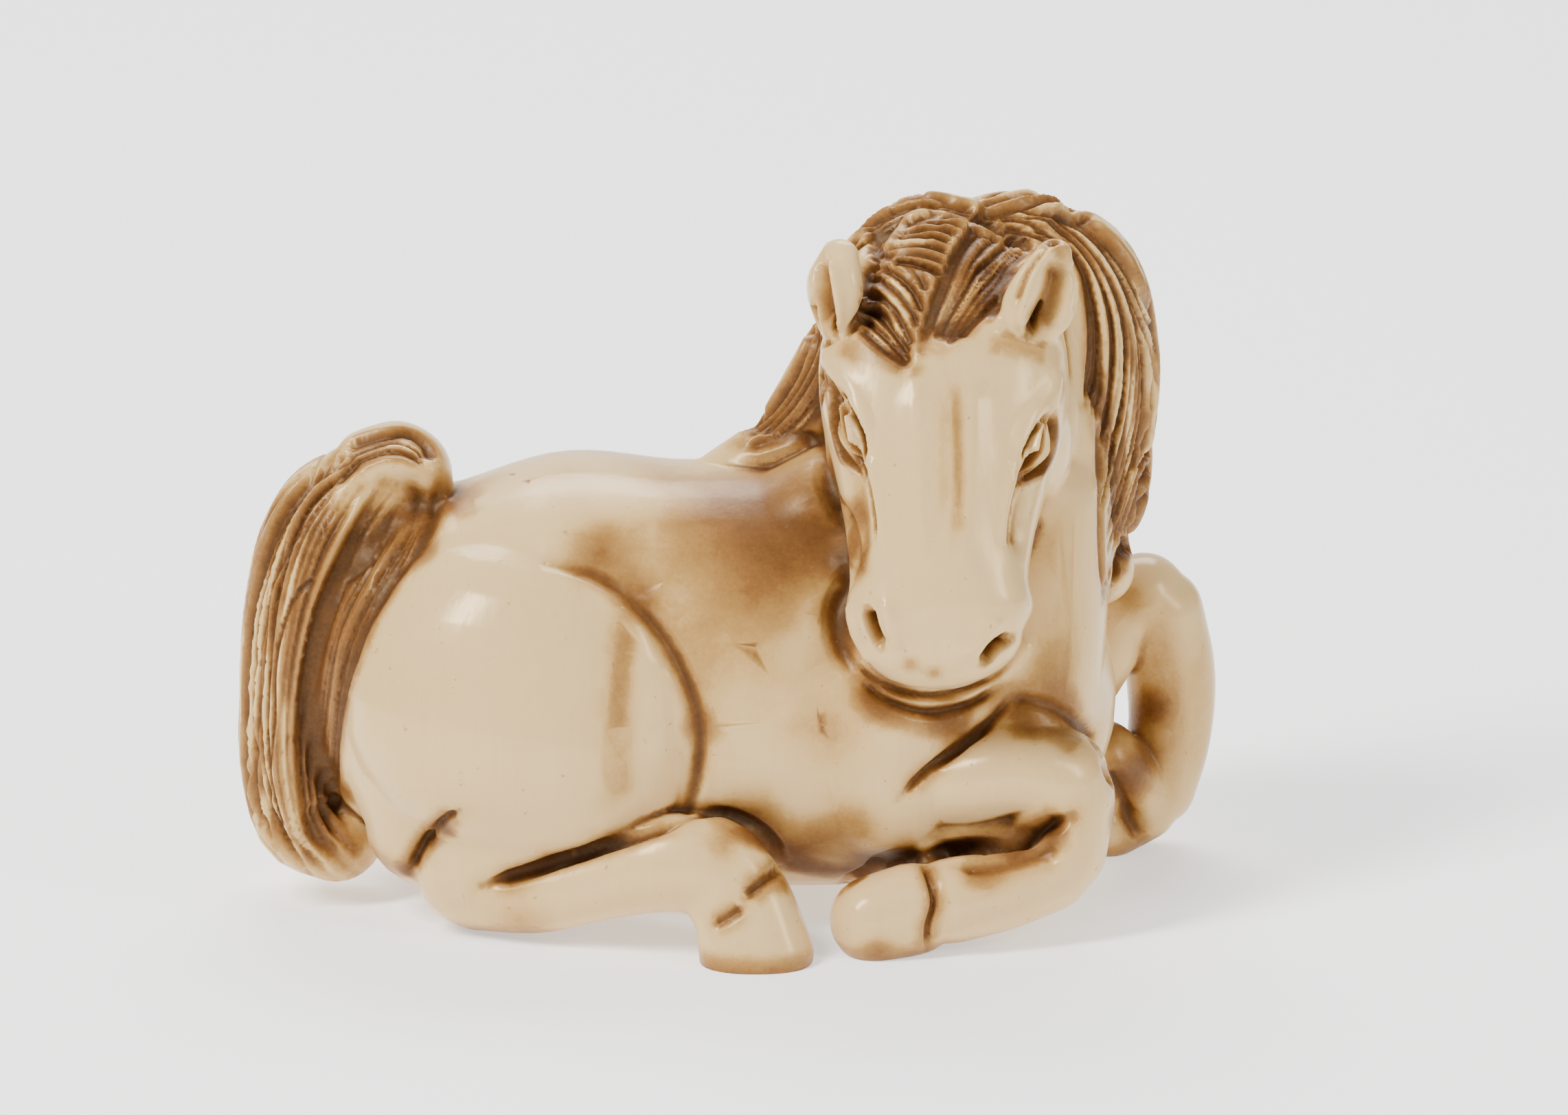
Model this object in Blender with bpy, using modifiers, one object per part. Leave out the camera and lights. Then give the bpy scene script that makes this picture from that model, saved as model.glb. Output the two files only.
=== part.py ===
"""A netsuke carved from one piece of ivory: a horse lying down with its legs folded under it.

Metres, +Z up. The body lies along X with the chest at +X, and the head is turned to face -Y.
The origin is at the middle of the footprint, on the surface that the carving stands on.
"""

import math

import bmesh
import bpy
import numpy as np
from mathutils import Matrix, Vector
from mathutils.bvhtree import BVHTree

# Driving dimensions
FIGURE_LENGTH = 0.0485
CORD_HOLE_RADIUS = 0.0015
CORD_HOLE_SPACING = 0.0085
CORD_HOLE_DEPTH = 0.0045
CORD_HOLE_X = 0.0010
CORD_HOLE_Y = 0.0005
SOLE_CUT = 0.0005
VOXEL = FIGURE_LENGTH / 200
TRIANGLES = 9300

# The pose and proportions are shares of the figure's length. Each number below is in MM, which is
# one millimetre when the figure is FIGURE_SHARES millimetres long.
FIGURE_SHARES = 48.5
MM = FIGURE_LENGTH / FIGURE_SHARES
LOCK_WIDTH = 0.48
LOCK_DEPTH = 0.62
POINT_GAP = 0.2
GUIDE_POINTS = 12
CUT_FADE = 2.2
CUT_END_DEPTH = 0.25
CUT_END_WIDTH = 0.6
CUT_ROUNDNESS = 1.5
BELLY = 1.2
TUNNEL_STEPS = 9
TUNNEL_SIDES = 14
RING_POINTS = 28
RINGS_ALONG = 22
SOFTEN_PASSES = 5
RINGS_IN_CAP = 5
IVORY = (0.83, 0.74, 0.60, 1.0)
POLISH = 0.3

UP = (0, 0, 1)
BACK = (0, 1, 0)
FRONT = (0, -1, 0)

# A limb is a name, the side that its thickness is measured on, how square its section is, and its
# stations along its line: x, y, z, half-width and half-thickness.
BODY = [
    ("trunk", UP, 2.3, [
        (-13.6, 0.0, 12.2, 8.2, 8.9),
        (-8.8, 0.0, 12.0, 9.2, 10.6),
        (-3.0, 0.0, 11.7, 9.2, 10.5),
        (2.5, 0.0, 11.7, 9.0, 10.4),
        (8.0, 0.0, 11.0, 8.8, 9.6),
        (11.8, -0.4, 10.4, 7.2, 8.0),
    ]),
    ("near haunch", BACK, 2.1, [
        (-9.0, -4.2, 13.4, 8.8, 6.7),
        (-9.6, -4.8, 10.4, 9.3, 6.8),
    ]),
    ("far haunch", BACK, 2.1, [
        (-9.0, 4.2, 13.4, 8.8, 6.7),
        (-9.6, 4.8, 10.4, 9.3, 6.8),
    ]),
    ("near buttock", BACK, 2.0, [
        (-14.0, -3.4, 14.5, 4.8, 4.8),
        (-14.6, -4.0, 8.4, 4.4, 4.2),
        (-14.6, -4.0, 5.4, 3.2, 3.4),
    ]),
    ("far buttock", BACK, 2.0, [
        (-14.0, 3.4, 14.5, 4.8, 4.8),
        (-14.6, 4.0, 8.4, 4.4, 4.2),
        (-14.6, 4.0, 5.4, 3.2, 3.4),
    ]),
    ("near shoulder", BACK, 2.0, [
        (6.4, -3.4, 16.5, 5.4, 4.4),
        (6.8, -4.4, 11.5, 5.8, 5.1),
        (7.6, -4.6, 8.4, 5.0, 4.6),
    ]),
    ("far shoulder", BACK, 2.0, [
        (6.4, 3.4, 16.5, 5.4, 4.4),
        (6.6, 4.4, 11.5, 5.6, 5.0),
        (7.4, 4.6, 8.8, 4.6, 4.4),
    ]),
    ("neck", BACK, 2.3, [
        (9.5, 0.0, 12.0, 8.6, 7.5),
        (10.8, 0.6, 17.0, 8.0, 7.0),
        (11.6, 1.2, 21.5, 7.6, 6.6),
        (11.8, 1.6, 26.0, 7.2, 6.0),
        (11.6, 1.4, 29.5, 6.2, 5.0),
    ]),
    ("near withers", UP, 2.0, [
        (-2.0, -1.4, 18.6, 4.0, 2.6),
        (2.5, -1.5, 19.8, 3.8, 2.5),
        (6.5, -1.5, 21.8, 3.4, 2.6),
    ]),
    ("throat", BACK, 2.0, [
        (14.2, -2.6, 10.5, 3.9, 5.0),
        (14.8, -1.8, 15.5, 3.7, 4.8),
        (14.9, -1.2, 21.0, 3.6, 4.6),
    ]),
]

HEAD = [
    ("skull and nose", FRONT, 2.7, [
        (10.4, -1.4, 31.0, 5.2, 3.6),
        (10.4, -3.4, 28.6, 6.0, 4.3),
        (10.4, -4.8, 26.0, 5.9, 4.5),
        (10.3, -6.4, 23.2, 5.1, 4.2),
        (10.2, -7.8, 20.8, 4.5, 3.6),
        (10.15, -8.9, 18.9, 4.3, 3.2),
        (10.2, -9.6, 17.4, 4.5, 3.0),
        (10.3, -9.9, 16.4, 3.9, 2.4),
    ]),
    ("near cheek", UP, 2.0, [
        (7.4, -1.5, 25.4, 2.9, 4.2),
        (7.0, -4.6, 24.4, 2.3, 3.6),
    ]),
    ("far cheek", UP, 2.0, [
        (13.6, -1.5, 25.4, 3.6, 4.6),
        (13.7, -4.4, 24.8, 3.0, 3.9),
    ]),
    ("lower lip", FRONT, 2.0, [
        (10.5, -7.0, 17.4, 2.6, 2.2),
        (10.6, -9.0, 15.6, 2.6, 1.7),
        (10.7, -9.6, 15.0, 2.2, 1.2),
    ]),
]

MANE = [
    ("mane", BACK, 2.5, [
        (11.5, 1.6, 32.6, 5.6, 2.4),
        (12.3, 2.0, 30.6, 7.6, 4.0),
        (12.8, 2.6, 27.2, 8.3, 5.2),
        (12.9, 3.0, 24.0, 8.2, 5.6),
        (13.4, 3.2, 20.5, 7.4, 5.8),
        (14.6, 3.4, 17.6, 5.4, 4.6),
        (15.8, 3.4, 16.4, 3.6, 3.4),
    ]),
    ("tip of the mane", BACK, 2.2, [
        (17.2, 2.6, 24.5, 3.4, 4.6),
        (17.5, 3.0, 20.8, 3.3, 4.6),
        (17.4, 3.2, 17.8, 2.5, 4.0),
        (18.2, 3.2, 16.2, 1.8, 2.6),
    ]),
    ("mane on the withers", BACK, 2.0, [
        (5.8, 1.4, 27.6, 2.3, 2.8),
        (4.0, 1.6, 24.6, 2.2, 2.4),
        (2.2, 1.6, 22.7, 1.8, 2.0),
        (-0.5, 1.4, 21.3, 1.3, 1.5),
    ]),
    ("forelock", FRONT, 2.2, [
        (11.6, -1.8, 33.2, 3.8, 1.7),
        (10.8, -4.2, 31.8, 4.0, 1.7),
        (10.4, -5.9, 30.2, 3.1, 1.3),
        (10.3, -6.7, 29.3, 1.3, 0.8),
    ]),
    ("crown on the outer side", FRONT, 2.0, [
        (13.2, 0.4, 33.6, 1.2, 1.3),
        (15.0, 0.6, 33.2, 1.6, 1.6),
        (17.2, 1.0, 31.2, 1.6, 1.6),
    ]),
    ("crown on the inner side", FRONT, 2.0, [
        (11.6, 0.2, 34.6, 1.1, 1.2),
        (9.4, 0.4, 34.4, 1.6, 1.6),
        (7.4, 0.6, 33.2, 1.5, 1.5),
        (5.8, 1.0, 31.2, 1.4, 1.6),
    ]),
]

TAIL = [
    ("tail", BACK, 2.4, [
        (-16.8, 0.0, 22.0, 2.4, 2.2),
        (-17.8, 0.0, 20.2, 3.7, 3.4),
        (-19.2, 0.0, 17.4, 4.1, 4.2),
        (-20.6, 0.0, 14.0, 3.4, 4.6),
        (-21.3, 0.0, 10.6, 2.8, 4.6),
        (-21.4, -0.2, 7.0, 2.6, 4.5),
        (-20.6, -0.5, 4.4, 2.5, 4.0),
        (-19.2, -0.8, 3.6, 2.2, 3.2),
    ]),
    ("lock folded over the tail", BACK, 2.0, [
        (-17.8, 0.0, 22.6, 1.4, 2.0),
        (-16.0, 0.0, 23.1, 1.3, 2.2),
        (-14.8, -0.2, 22.4, 1.2, 2.1),
        (-14.4, -0.4, 21.2, 1.0, 1.6),
    ]),
]

LEGS = [
    ("near gaskin", UP, 2.0, [
        (-6.6, -5.4, 9.5, 4.4, 4.4),
        (-10.4, -6.0, 6.2, 3.8, 3.8),
        (-12.4, -6.0, 3.6, 2.9, 2.9),
    ]),
    ("near hind cannon", UP, 2.0, [
        (-12.2, -6.4, 2.9, 2.2, 2.3),
        (-9.4, -7.8, 2.9, 2.0, 2.0),
        (-6.0, -8.9, 3.9, 1.9, 1.95),
        (-2.8, -9.4, 4.9, 2.4, 2.4),
        (-0.9, -9.6, 4.9, 2.5, 2.4),
    ]),
    ("near hind hoof", BACK, 2.4, [
        (-0.5, -9.8, 4.8, 2.4, 2.1),
        (0.7, -10.4, 3.0, 2.5, 2.1),
        (1.4, -11.0, 0.6, 2.8, 2.3),
    ]),
    ("far gaskin", UP, 2.0, [
        (-6.6, 5.4, 9.5, 4.4, 4.4),
        (-10.4, 6.0, 6.2, 3.8, 3.8),
        (-12.4, 6.0, 3.6, 2.9, 2.9),
    ]),
    ("far hind cannon", UP, 2.0, [
        (-12.2, 6.4, 2.5, 2.2, 2.2),
        (-9.4, 7.6, 2.3, 1.9, 1.9),
        (-6.0, 8.2, 2.6, 1.8, 1.8),
        (-2.6, 8.0, 3.0, 2.0, 2.0),
        (-1.0, 7.6, 2.8, 1.9, 1.9),
    ]),
    ("far hind hoof", UP, 2.2, [
        (0.0, 7.4, 2.2, 1.8, 1.8),
        (2.6, 6.6, 1.7, 2.0, 2.0),
    ]),
    ("near forearm", UP, 2.0, [
        (8.4, -5.2, 7.4, 2.4, 2.3),
        (11.6, -6.5, 8.4, 2.5, 2.3),
        (14.4, -6.8, 9.0, 2.7, 2.3),
        (16.0, -6.6, 8.4, 2.7, 2.5),
    ]),
    ("near knee", UP, 2.0, [
        (16.2, -6.6, 7.4, 2.6, 2.7),
        (16.0, -7.0, 4.9, 2.4, 2.6),
    ]),
    ("fold of the near foreleg", UP, 2.0, [
        (9.0, -5.4, 4.9, 2.6, 2.2),
        (15.2, -5.4, 5.8, 2.6, 2.2),
    ]),
    ("near fore cannon", UP, 2.0, [
        (15.4, -7.3, 4.2, 2.4, 2.4),
        (13.2, -8.3, 3.4, 2.2, 2.2),
        (10.8, -9.1, 2.9, 2.1, 2.1),
    ]),
    ("near fore hoof", UP, 2.4, [
        (9.0, -9.4, 2.6, 2.1, 2.2),
        (7.0, -9.7, 2.1, 2.1, 2.1),
    ]),
    ("far forearm", UP, 2.0, [
        (15.0, 4.6, 7.4, 2.8, 2.6),
        (17.8, 6.4, 10.6, 2.3, 2.2),
        (19.6, 7.4, 13.0, 2.2, 2.1),
        (20.6, 7.7, 13.4, 2.2, 2.2),
    ]),
    ("far fore cannon", BACK, 2.0, [
        (21.3, 7.8, 12.6, 2.3, 2.2),
        (22.0, 8.0, 9.2, 2.25, 2.0),
        (21.9, 8.0, 5.8, 2.1, 2.0),
        (21.2, 7.8, 3.4, 2.1, 1.9),
    ]),
    ("fold of the far foreleg", BACK, 2.0, [
        (18.6, 5.6, 5.6, 1.9, 2.0),
        (20.2, 6.8, 3.6, 1.8, 1.8),
    ]),
    ("far fore hoof", UP, 2.2, [
        (20.6, 7.4, 2.6, 1.8, 1.8),
        (18.8, 6.6, 2.0, 1.9, 1.9),
    ]),
]

EARS = [
    ("near ear", (-0.75, -0.66, 0), 2.0, [
        (5.5, -4.3, 29.9, 0.9, 0.8),
        (5.25, -5.0, 31.0, 1.25, 1.0),
        (5.15, -5.2, 32.9, 1.65, 1.1),
        (5.4, -4.8, 34.2, 1.15, 0.7),
    ]),
    ("far ear", (0.3, -0.95, 0), 2.0, [
        (14.3, -4.5, 29.4, 1.2, 0.9),
        (14.6, -5.5, 31.0, 1.75, 1.2),
        (15.2, -5.7, 32.8, 1.6, 1.1),
        (15.75, -5.3, 34.5, 0.85, 0.6),
    ]),
]


# The carver's cuts. A cut is the side that it is drawn on, its width and depth in MM, and its
# points. The near side is drawn on a front view taken VIEW_ABOVE_LEVEL, across and down, with
# SHEET_SCALE units to one MM; the other sides are drawn square on in MM. A negative depth raises
# a ridge.
VIEW_ABOVE_LEVEL = math.radians(16.0)
SHEET_SCALE = 29.75
SHEET_MIDDLE = (1141.5, 812.0)
SHEET_TARGET = (2.7, 0.0, 17.6)
VIEW_DISTANCE = 500.0

CREASES = [
    ("near", 0.9, 0.75, [(640, 705), (620, 770), (560, 850), (520, 920), (495, 1000), (482, 1100),
                         (484, 1160), (512, 1230), (560, 1278)]),
    ("near", 0.8, 0.55, [(795, 822), (860, 832), (930, 885), (990, 970), (1016, 1060),
                         (1012, 1130), (1000, 1190)]),
    ("near", 1.5, 0.35, [(850, 805), (900, 830), (935, 880)]),
    ("near", 0.7, 0.70, [(1005, 1192), (940, 1214), (860, 1240), (780, 1266), (700, 1291)]),
    ("near", 0.4, 0.60, [(668, 1180), (640, 1202), (612, 1236), (594, 1272)]),
    ("near", 0.5, 0.35, [(1132, 1266), (1108, 1286), (1085, 1306)]),
    ("near", 0.4, 0.30, [(1078, 1326), (1060, 1338), (1042, 1346)]),
    ("near", 0.7, 0.60, [(1010, 1190), (1060, 1186), (1110, 1210), (1140, 1248)]),
    ("near", 0.7, 0.60, [(1222, 1290), (1262, 1268), (1310, 1254), (1350, 1246)]),
    ("near", 0.8, 1.40, [(1345, 1246), (1420, 1232), (1500, 1212), (1562, 1190)]),
    ("near", 0.7, 0.70, [(1400, 1252), (1470, 1246), (1550, 1222)]),
    ("near", 0.4, 0.45, [(1344, 1252), (1356, 1300), (1360, 1335), (1350, 1382)]),
    ("near", 0.7, 0.75, [(1310, 1162), (1360, 1116), (1420, 1070), (1458, 1034), (1474, 1014)]),
    ("near", 0.8, 0.70, [(1462, 1020), (1510, 1022), (1550, 1038), (1578, 1058), (1600, 1095)]),
    ("near", 0.6, 0.60, [(1604, 1110), (1628, 1150), (1650, 1200), (1668, 1228)]),
    ("near", 0.9, 0.70, [(1196, 640), (1206, 700), (1236, 770), (1238, 840), (1218, 890),
                         (1226, 950), (1250, 990)]),
    ("near", 0.7, 0.50, [(1578, 620), (1552, 690), (1508, 742), (1488, 800), (1492, 860)]),
    ("near", 0.8, 0.55, [(1604, 600), (1604, 700), (1604, 790), (1608, 860)]),
    ("near", 0.6, 0.55, [(1618, 870), (1622, 930), (1606, 1010), (1590, 1080)]),
    ("far", 0.8, 0.60, [(-8.5, 19.5), (-5.0, 17.8), (-2.6, 14.6), (-1.4, 11.0), (-1.8, 7.4)]),
    ("far", 0.7, 0.60, [(-1.6, 6.6), (-6.0, 5.6), (-11.4, 4.0)]),
    ("far", 0.9, 0.75, [(-14.6, 22.0), (-16.8, 19.6), (-18.2, 16.0), (-18.8, 11.0), (-18.6, 7.0),
                        (-17.4, 4.4)]),
    ("far", 0.8, 0.55, [(2.4, 24.4), (5.0, 20.6), (9.0, 17.2), (13.5, 15.4), (17.5, 15.2)]),
]

FACE = [
    ("near", 0.80, 0.85, [(1214, 566), (1226, 612), (1240, 656), (1257, 690)]),
    ("near", 0.30, 0.35, [(1262, 695), (1270, 735), (1275, 775)]),
    ("near", 0.80, 0.80, [(1528, 600), (1520, 650), (1502, 685), (1485, 702)]),
    ("near", 0.30, 0.35, [(1482, 700), (1474, 745), (1471, 790)]),
    ("near", 0.40, 0.70, [(1263, 892), (1272, 915), (1282, 940)]),
    ("near", 0.40, 0.70, [(1472, 930), (1452, 948), (1434, 966)]),
    ("near", 0.35, 0.50, [(1244, 958), (1285, 992), (1340, 1010), (1400, 1004), (1450, 982),
                          (1476, 958)]),
    ("near", 1.20, 0.14, [(1392, 560), (1396, 640), (1398, 720), (1390, 790)]),
    ("near", 0.65, 0.90, [(1196, 382), (1202, 430), (1214, 476)]),
    ("near", 0.85, 1.00, [(1540, 388), (1528, 430), (1502, 484)]),
    ("near", 0.45, 0.60, [(1452, 360), (1458, 420), (1462, 470), (1490, 502), (1530, 500)]),
    ("near", 0.45, 0.60, [(1262, 385), (1254, 430), (1246, 470), (1226, 496)]),
    ("near", 0.50, 0.60, [(1445, 290), (1420, 330), (1385, 385), (1362, 440)]),
    ("near", 0.50, -0.60, [(1240, 604), (1244, 624), (1250, 646)]),
    ("near", 0.50, -0.60, [(1518, 620), (1510, 642), (1498, 664)]),
    ("near", 0.60, -0.30, [(1208, 540), (1230, 575), (1256, 615)]),
    ("near", 0.60, -0.30, [(1532, 562), (1512, 600), (1486, 640)]),
]

# Hair is a fan of guide lines; the locks between neighbouring guides are blended from them.
HAIR = [
    ("near", 6, [
        [(1555, 345), (1582, 400), (1592, 480), (1590, 545), (1584, 590)],
        [(1450, 294), (1545, 312), (1604, 365), (1632, 450), (1632, 540), (1614, 640), (1610, 740),
         (1612, 850)],
        [(1500, 286), (1580, 320), (1640, 385), (1668, 470), (1668, 560), (1648, 670), (1634, 770),
         (1624, 860)],
        [(1560, 306), (1625, 368), (1670, 440), (1690, 525), (1688, 620), (1674, 710), (1660, 780),
         (1646, 820)],
    ]),
    ("near", 5, [
        [(1478, 296), (1425, 345), (1385, 405), (1355, 465), (1332, 515)],
        [(1520, 318), (1455, 345), (1410, 400), (1378, 460), (1352, 505)],
        [(1500, 352), (1452, 385), (1415, 430), (1380, 490)],
        [(1462, 415), (1432, 440), (1405, 490)],
    ]),
    ("near", 7, [
        [(1400, 284), (1340, 290), (1280, 322), (1232, 352)],
        [(1425, 318), (1350, 308), (1292, 332), (1250, 356)],
        [(1385, 362), (1330, 352), (1285, 366), (1260, 400)],
        [(1350, 410), (1308, 396), (1276, 412), (1258, 450)],
        [(1330, 486), (1300, 456), (1262, 462)],
    ]),
    ("near", 4, [
        [(1184, 450), (1162, 530), (1120, 600), (1068, 642)],
        [(1198, 520), (1188, 580), (1165, 628), (1120, 650)],
    ]),
    ("far", 11, [
        [(6.0, 32.6), (4.4, 28.4), (3.2, 25.4), (0.5, 23.0)],
        [(9.0, 34.4), (8.0, 29.0), (6.4, 24.0), (4.2, 20.8)],
        [(12.0, 34.9), (12.0, 29.0), (11.0, 23.0), (9.6, 18.4)],
        [(15.0, 34.2), (16.0, 29.0), (15.8, 23.0), (14.6, 17.0)],
        [(17.4, 32.6), (19.6, 28.0), (19.8, 22.0), (18.2, 16.4)],
    ]),
    ("near", 7, [
        [(470, 660), (400, 750), (362, 860), (350, 1000), (354, 1140), (372, 1198)],
        [(560, 640), (445, 705), (395, 810), (373, 950), (369, 1080), (386, 1180), (420, 1232)],
        [(606, 668), (490, 700), (436, 790), (408, 900), (396, 1050), (402, 1180), (446, 1252)],
        [(524, 712), (482, 780), (444, 880), (422, 1000), (418, 1130), (444, 1236)],
        [(600, 715), (532, 810), (474, 920), (450, 1040), (450, 1150), (474, 1256)],
    ]),
    ("far", 6, [
        [(-19.4, 23.0), (-22.4, 19.6), (-23.7, 14.0), (-23.7, 8.0), (-22.2, 3.6)],
        [(-16.0, 23.6), (-20.2, 20.0), (-21.6, 14.0), (-21.8, 8.0), (-20.8, 3.4)],
        [(-15.6, 22.6), (-18.4, 18.6), (-19.9, 13.6), (-20.0, 8.0), (-19.4, 4.0)],
    ]),
    ("tail end", 5, [
        [(3.0, 21.0), (3.2, 14.0), (3.2, 7.0), (2.6, 3.4)],
        [(0.0, 22.8), (0.0, 14.0), (0.0, 7.0), (0.0, 2.6)],
        [(-3.0, 21.0), (-3.2, 14.0), (-3.2, 7.0), (-2.6, 3.4)],
    ]),
]


def cleared_scene():
    for thing in list(bpy.data.objects):
        bpy.data.objects.remove(thing)


def collection(name):
    made = bpy.data.collections.new(name)
    bpy.context.scene.collection.children.link(made)
    return made


def smooth_line(stations, samples):
    """Evenly spaced samples of a smooth curve through every station."""
    knots = np.array(stations, float)
    steps = np.linalg.norm(np.diff(knots[:, :3], axis=0), axis=1)
    along = np.concatenate([[0.0], np.cumsum(steps)])
    if len(knots) == 2:
        slope = np.repeat((knots[1:] - knots[:1]) / along[1], 2, axis=0)
    else:
        slope = np.gradient(knots, along, axis=0)
    want = np.linspace(0, along[-1], samples)
    i = np.clip(np.searchsorted(along, want, side="right") - 1, 0, len(along) - 2)
    span = (along[i + 1] - along[i])[:, None]
    u = ((want - along[i])[:, None]) / span
    return (
        (2 * u**3 - 3 * u**2 + 1) * knots[i]
        + (u**3 - 2 * u**2 + u) * span * slope[i]
        + (3 * u**2 - 2 * u**3) * knots[i + 1]
        + (u**3 - u**2) * span * slope[i + 1]
    )


def rounded_ends(line):
    """The line with a half dome of shrinking rings before its first station and after its last."""
    turn = np.linspace(0, math.pi / 2, RINGS_IN_CAP + 1)
    domes = []
    for end, inward in ((line[0], line[1]), (line[-1], line[-2])):
        out = end[:3] - inward[:3]
        out /= np.linalg.norm(out)
        reach = min(end[3], end[4])
        dome = np.repeat(end[None, :], RINGS_IN_CAP, axis=0)
        dome[:, :3] += np.outer(np.sin(turn[1:]), out) * reach
        dome[:, 3:] *= np.cos(turn[1:])[:, None]
        domes.append(dome)
    return np.vstack([domes[0][::-1], line, domes[1]])


def limb(limb_spec, into, sides):
    """A sphere primitive whose rings are slid along the limb's line and given its sections."""
    _, thick_side, squareness, stations = limb_spec
    rings = rounded_ends(smooth_line(stations, RINGS_ALONG))
    tangents = np.gradient(rings[:, :3], axis=0)
    last = len(rings) - 1
    bm = bmesh.new()
    bmesh.ops.create_uvsphere(bm, u_segments=sides, v_segments=last, radius=1.0)
    for vert in bm.verts:
        height = max(-1.0, min(1.0, vert.co.z))
        ring = last - round(math.acos(height) / math.pi * last)
        along = Vector(tangents[ring]).normalized()
        across = Vector(thick_side).cross(along).normalized()
        outward = along.cross(across)
        turn = math.atan2(vert.co.y, vert.co.x)
        pole = ring in (0, last)
        reach = [0.0 if pole else abs(f(turn)) ** (2 / squareness) for f in (math.cos, math.sin)]
        x, y, z, wide, thick = rings[ring]
        vert.co = (
            Vector((x, y, z))
            + across * math.copysign(reach[0], math.cos(turn)) * wide
            + outward * math.copysign(reach[1], math.sin(turn)) * thick
        ) * MM
    mesh = bpy.data.meshes.new("limb")
    bm.to_mesh(mesh)
    bm.free()
    into.from_mesh(mesh)
    bpy.data.meshes.remove(mesh)


def object_from(bm, name, home):
    mesh = bpy.data.meshes.new(name)
    bm.to_mesh(mesh)
    bm.free()
    made = bpy.data.objects.new(name, mesh)
    home.objects.link(made)
    return made


def applied(thing):
    """Bakes the object's modifiers into its mesh."""
    graph = bpy.context.evaluated_depsgraph_get()
    graph.update()
    mesh = bpy.data.meshes.new_from_object(thing.evaluated_get(graph))
    thing.modifiers.clear()
    thing.data = mesh
    return thing


def resampled(points, count):
    """The same number of evenly spaced points along a smooth line through the given ones."""
    pad = [list(p) + [0.0] * (3 - len(p)) for p in points]
    return smooth_line(pad, count)[:, : len(points[0])]


def sight(side, across, up):
    """Where a point drawn on one side is looked at from, and which way, in MM."""
    if side == "near":
        rise = (SHEET_MIDDLE[1] - up) / SHEET_SCALE
        level, lift = math.cos(VIEW_ABOVE_LEVEL), math.sin(VIEW_ABOVE_LEVEL)
        eye = Vector(SHEET_TARGET) + Vector((0, -level, lift)) * VIEW_DISTANCE
        spot = Vector(SHEET_TARGET) + Vector((0, lift, level)) * rise
        spot.x += (across - SHEET_MIDDLE[0]) / SHEET_SCALE
        return eye, (spot - eye).normalized()
    if side == "far":
        return Vector((across, FIGURE_SHARES, up)), Vector((0, -1, 0))
    return Vector((-FIGURE_SHARES, across, up)), Vector((1, 0, 0))


def laid_on(tree, side, points):
    """A drawn line dropped on the surface as closely spaced points."""
    reach = sum(math.dist(a, b) for a, b in zip(points, points[1:]))
    if side == "near":
        reach /= SHEET_SCALE
    line = resampled(points, max(4, round(reach / POINT_GAP)))
    spots = []
    for across, up in line:
        eye, way = sight(side, across, up)
        hit = tree.ray_cast(eye * MM, way)[0]
        if hit:
            spots.append(hit)
    return np.array(spots) if len(spots) > 2 else np.zeros((0, 3))


def cut(skin, sunk, line, width, depth):
    """Marks how deep each point of the skin sinks under one cut, which fades at its two ends."""
    if len(line) == 0:
        return
    width, depth = width * MM, depth * MM
    low, high = line.min(axis=0) - width, line.max(axis=0) + width
    near = np.flatnonzero(((skin > low) & (skin < high)).all(axis=1))
    if len(near) == 0:
        return
    apart = np.linalg.norm(skin[near, None, :] - line[None, :, :], axis=2)
    closest = apart.argmin(axis=1)
    fade = np.sin(closest / (len(line) - 1) * math.pi) * CUT_FADE
    fade = np.clip(fade, CUT_END_DEPTH, 1.0)
    taper = CUT_END_WIDTH + (1 - CUT_END_WIDTH) * fade
    gap = apart[np.arange(len(near)), closest] / (width * taper)
    amount = depth * fade * np.clip(1 - gap**CUT_ROUNDNESS, 0, None)
    if depth < 0:
        sunk[near] += amount
    else:
        sunk[near] = np.maximum(sunk[near], amount)


def carve(thing):
    """Sinks every crease, feature and lock into the skin."""
    count = len(thing.data.vertices)
    skin = np.empty(count * 3)
    thing.data.vertices.foreach_get("co", skin)
    skin = skin.reshape(-1, 3)
    outward = np.array([tuple(n.vector) for n in thing.data.vertex_normals])
    tree = BVHTree.FromPolygons(skin.tolist(), [tuple(p.vertices) for p in thing.data.polygons])
    sunk = np.zeros(count)
    for side, width, depth, points in CREASES + FACE:
        cut(skin, sunk, laid_on(tree, side, points), width, depth)
    for side, locks, guides in HAIR:
        fan = np.array([resampled(g, GUIDE_POINTS) for g in guides])
        for place in np.linspace(0, len(guides) - 1, locks):
            low = min(int(place), len(guides) - 2)
            line = fan[low] + (fan[low + 1] - fan[low]) * (place - low)
            cut(skin, sunk, laid_on(tree, side, line.tolist()), LOCK_WIDTH, LOCK_DEPTH)
    skin -= outward * sunk[:, None]
    thing.data.vertices.foreach_set("co", skin.ravel())
    thing.data.update()


def cord_tunnel(home):
    """The bent bore for the cord: two mouths in the belly that meet inside the body."""
    half = CORD_HOLE_SPACING / 2 / MM
    radius = CORD_HOLE_RADIUS / MM
    arc = []
    for turn in np.linspace(0, math.pi, TUNNEL_STEPS):
        arc.append((
            CORD_HOLE_X / MM - half * math.cos(turn),
            CORD_HOLE_Y / MM,
            BELLY + CORD_HOLE_DEPTH / MM * math.sin(turn),
            radius,
            radius,
        ))
    below = [arc[0][:2] + (BELLY - 2 * radius, radius, radius)]
    after = [arc[-1][:2] + (BELLY - 2 * radius, radius, radius)]
    bm = bmesh.new()
    limb(("cord tunnel", BACK, 2.0, below + arc + after), bm, TUNNEL_SIDES)
    return object_from(bm, "cutter cord tunnel", home)


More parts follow.
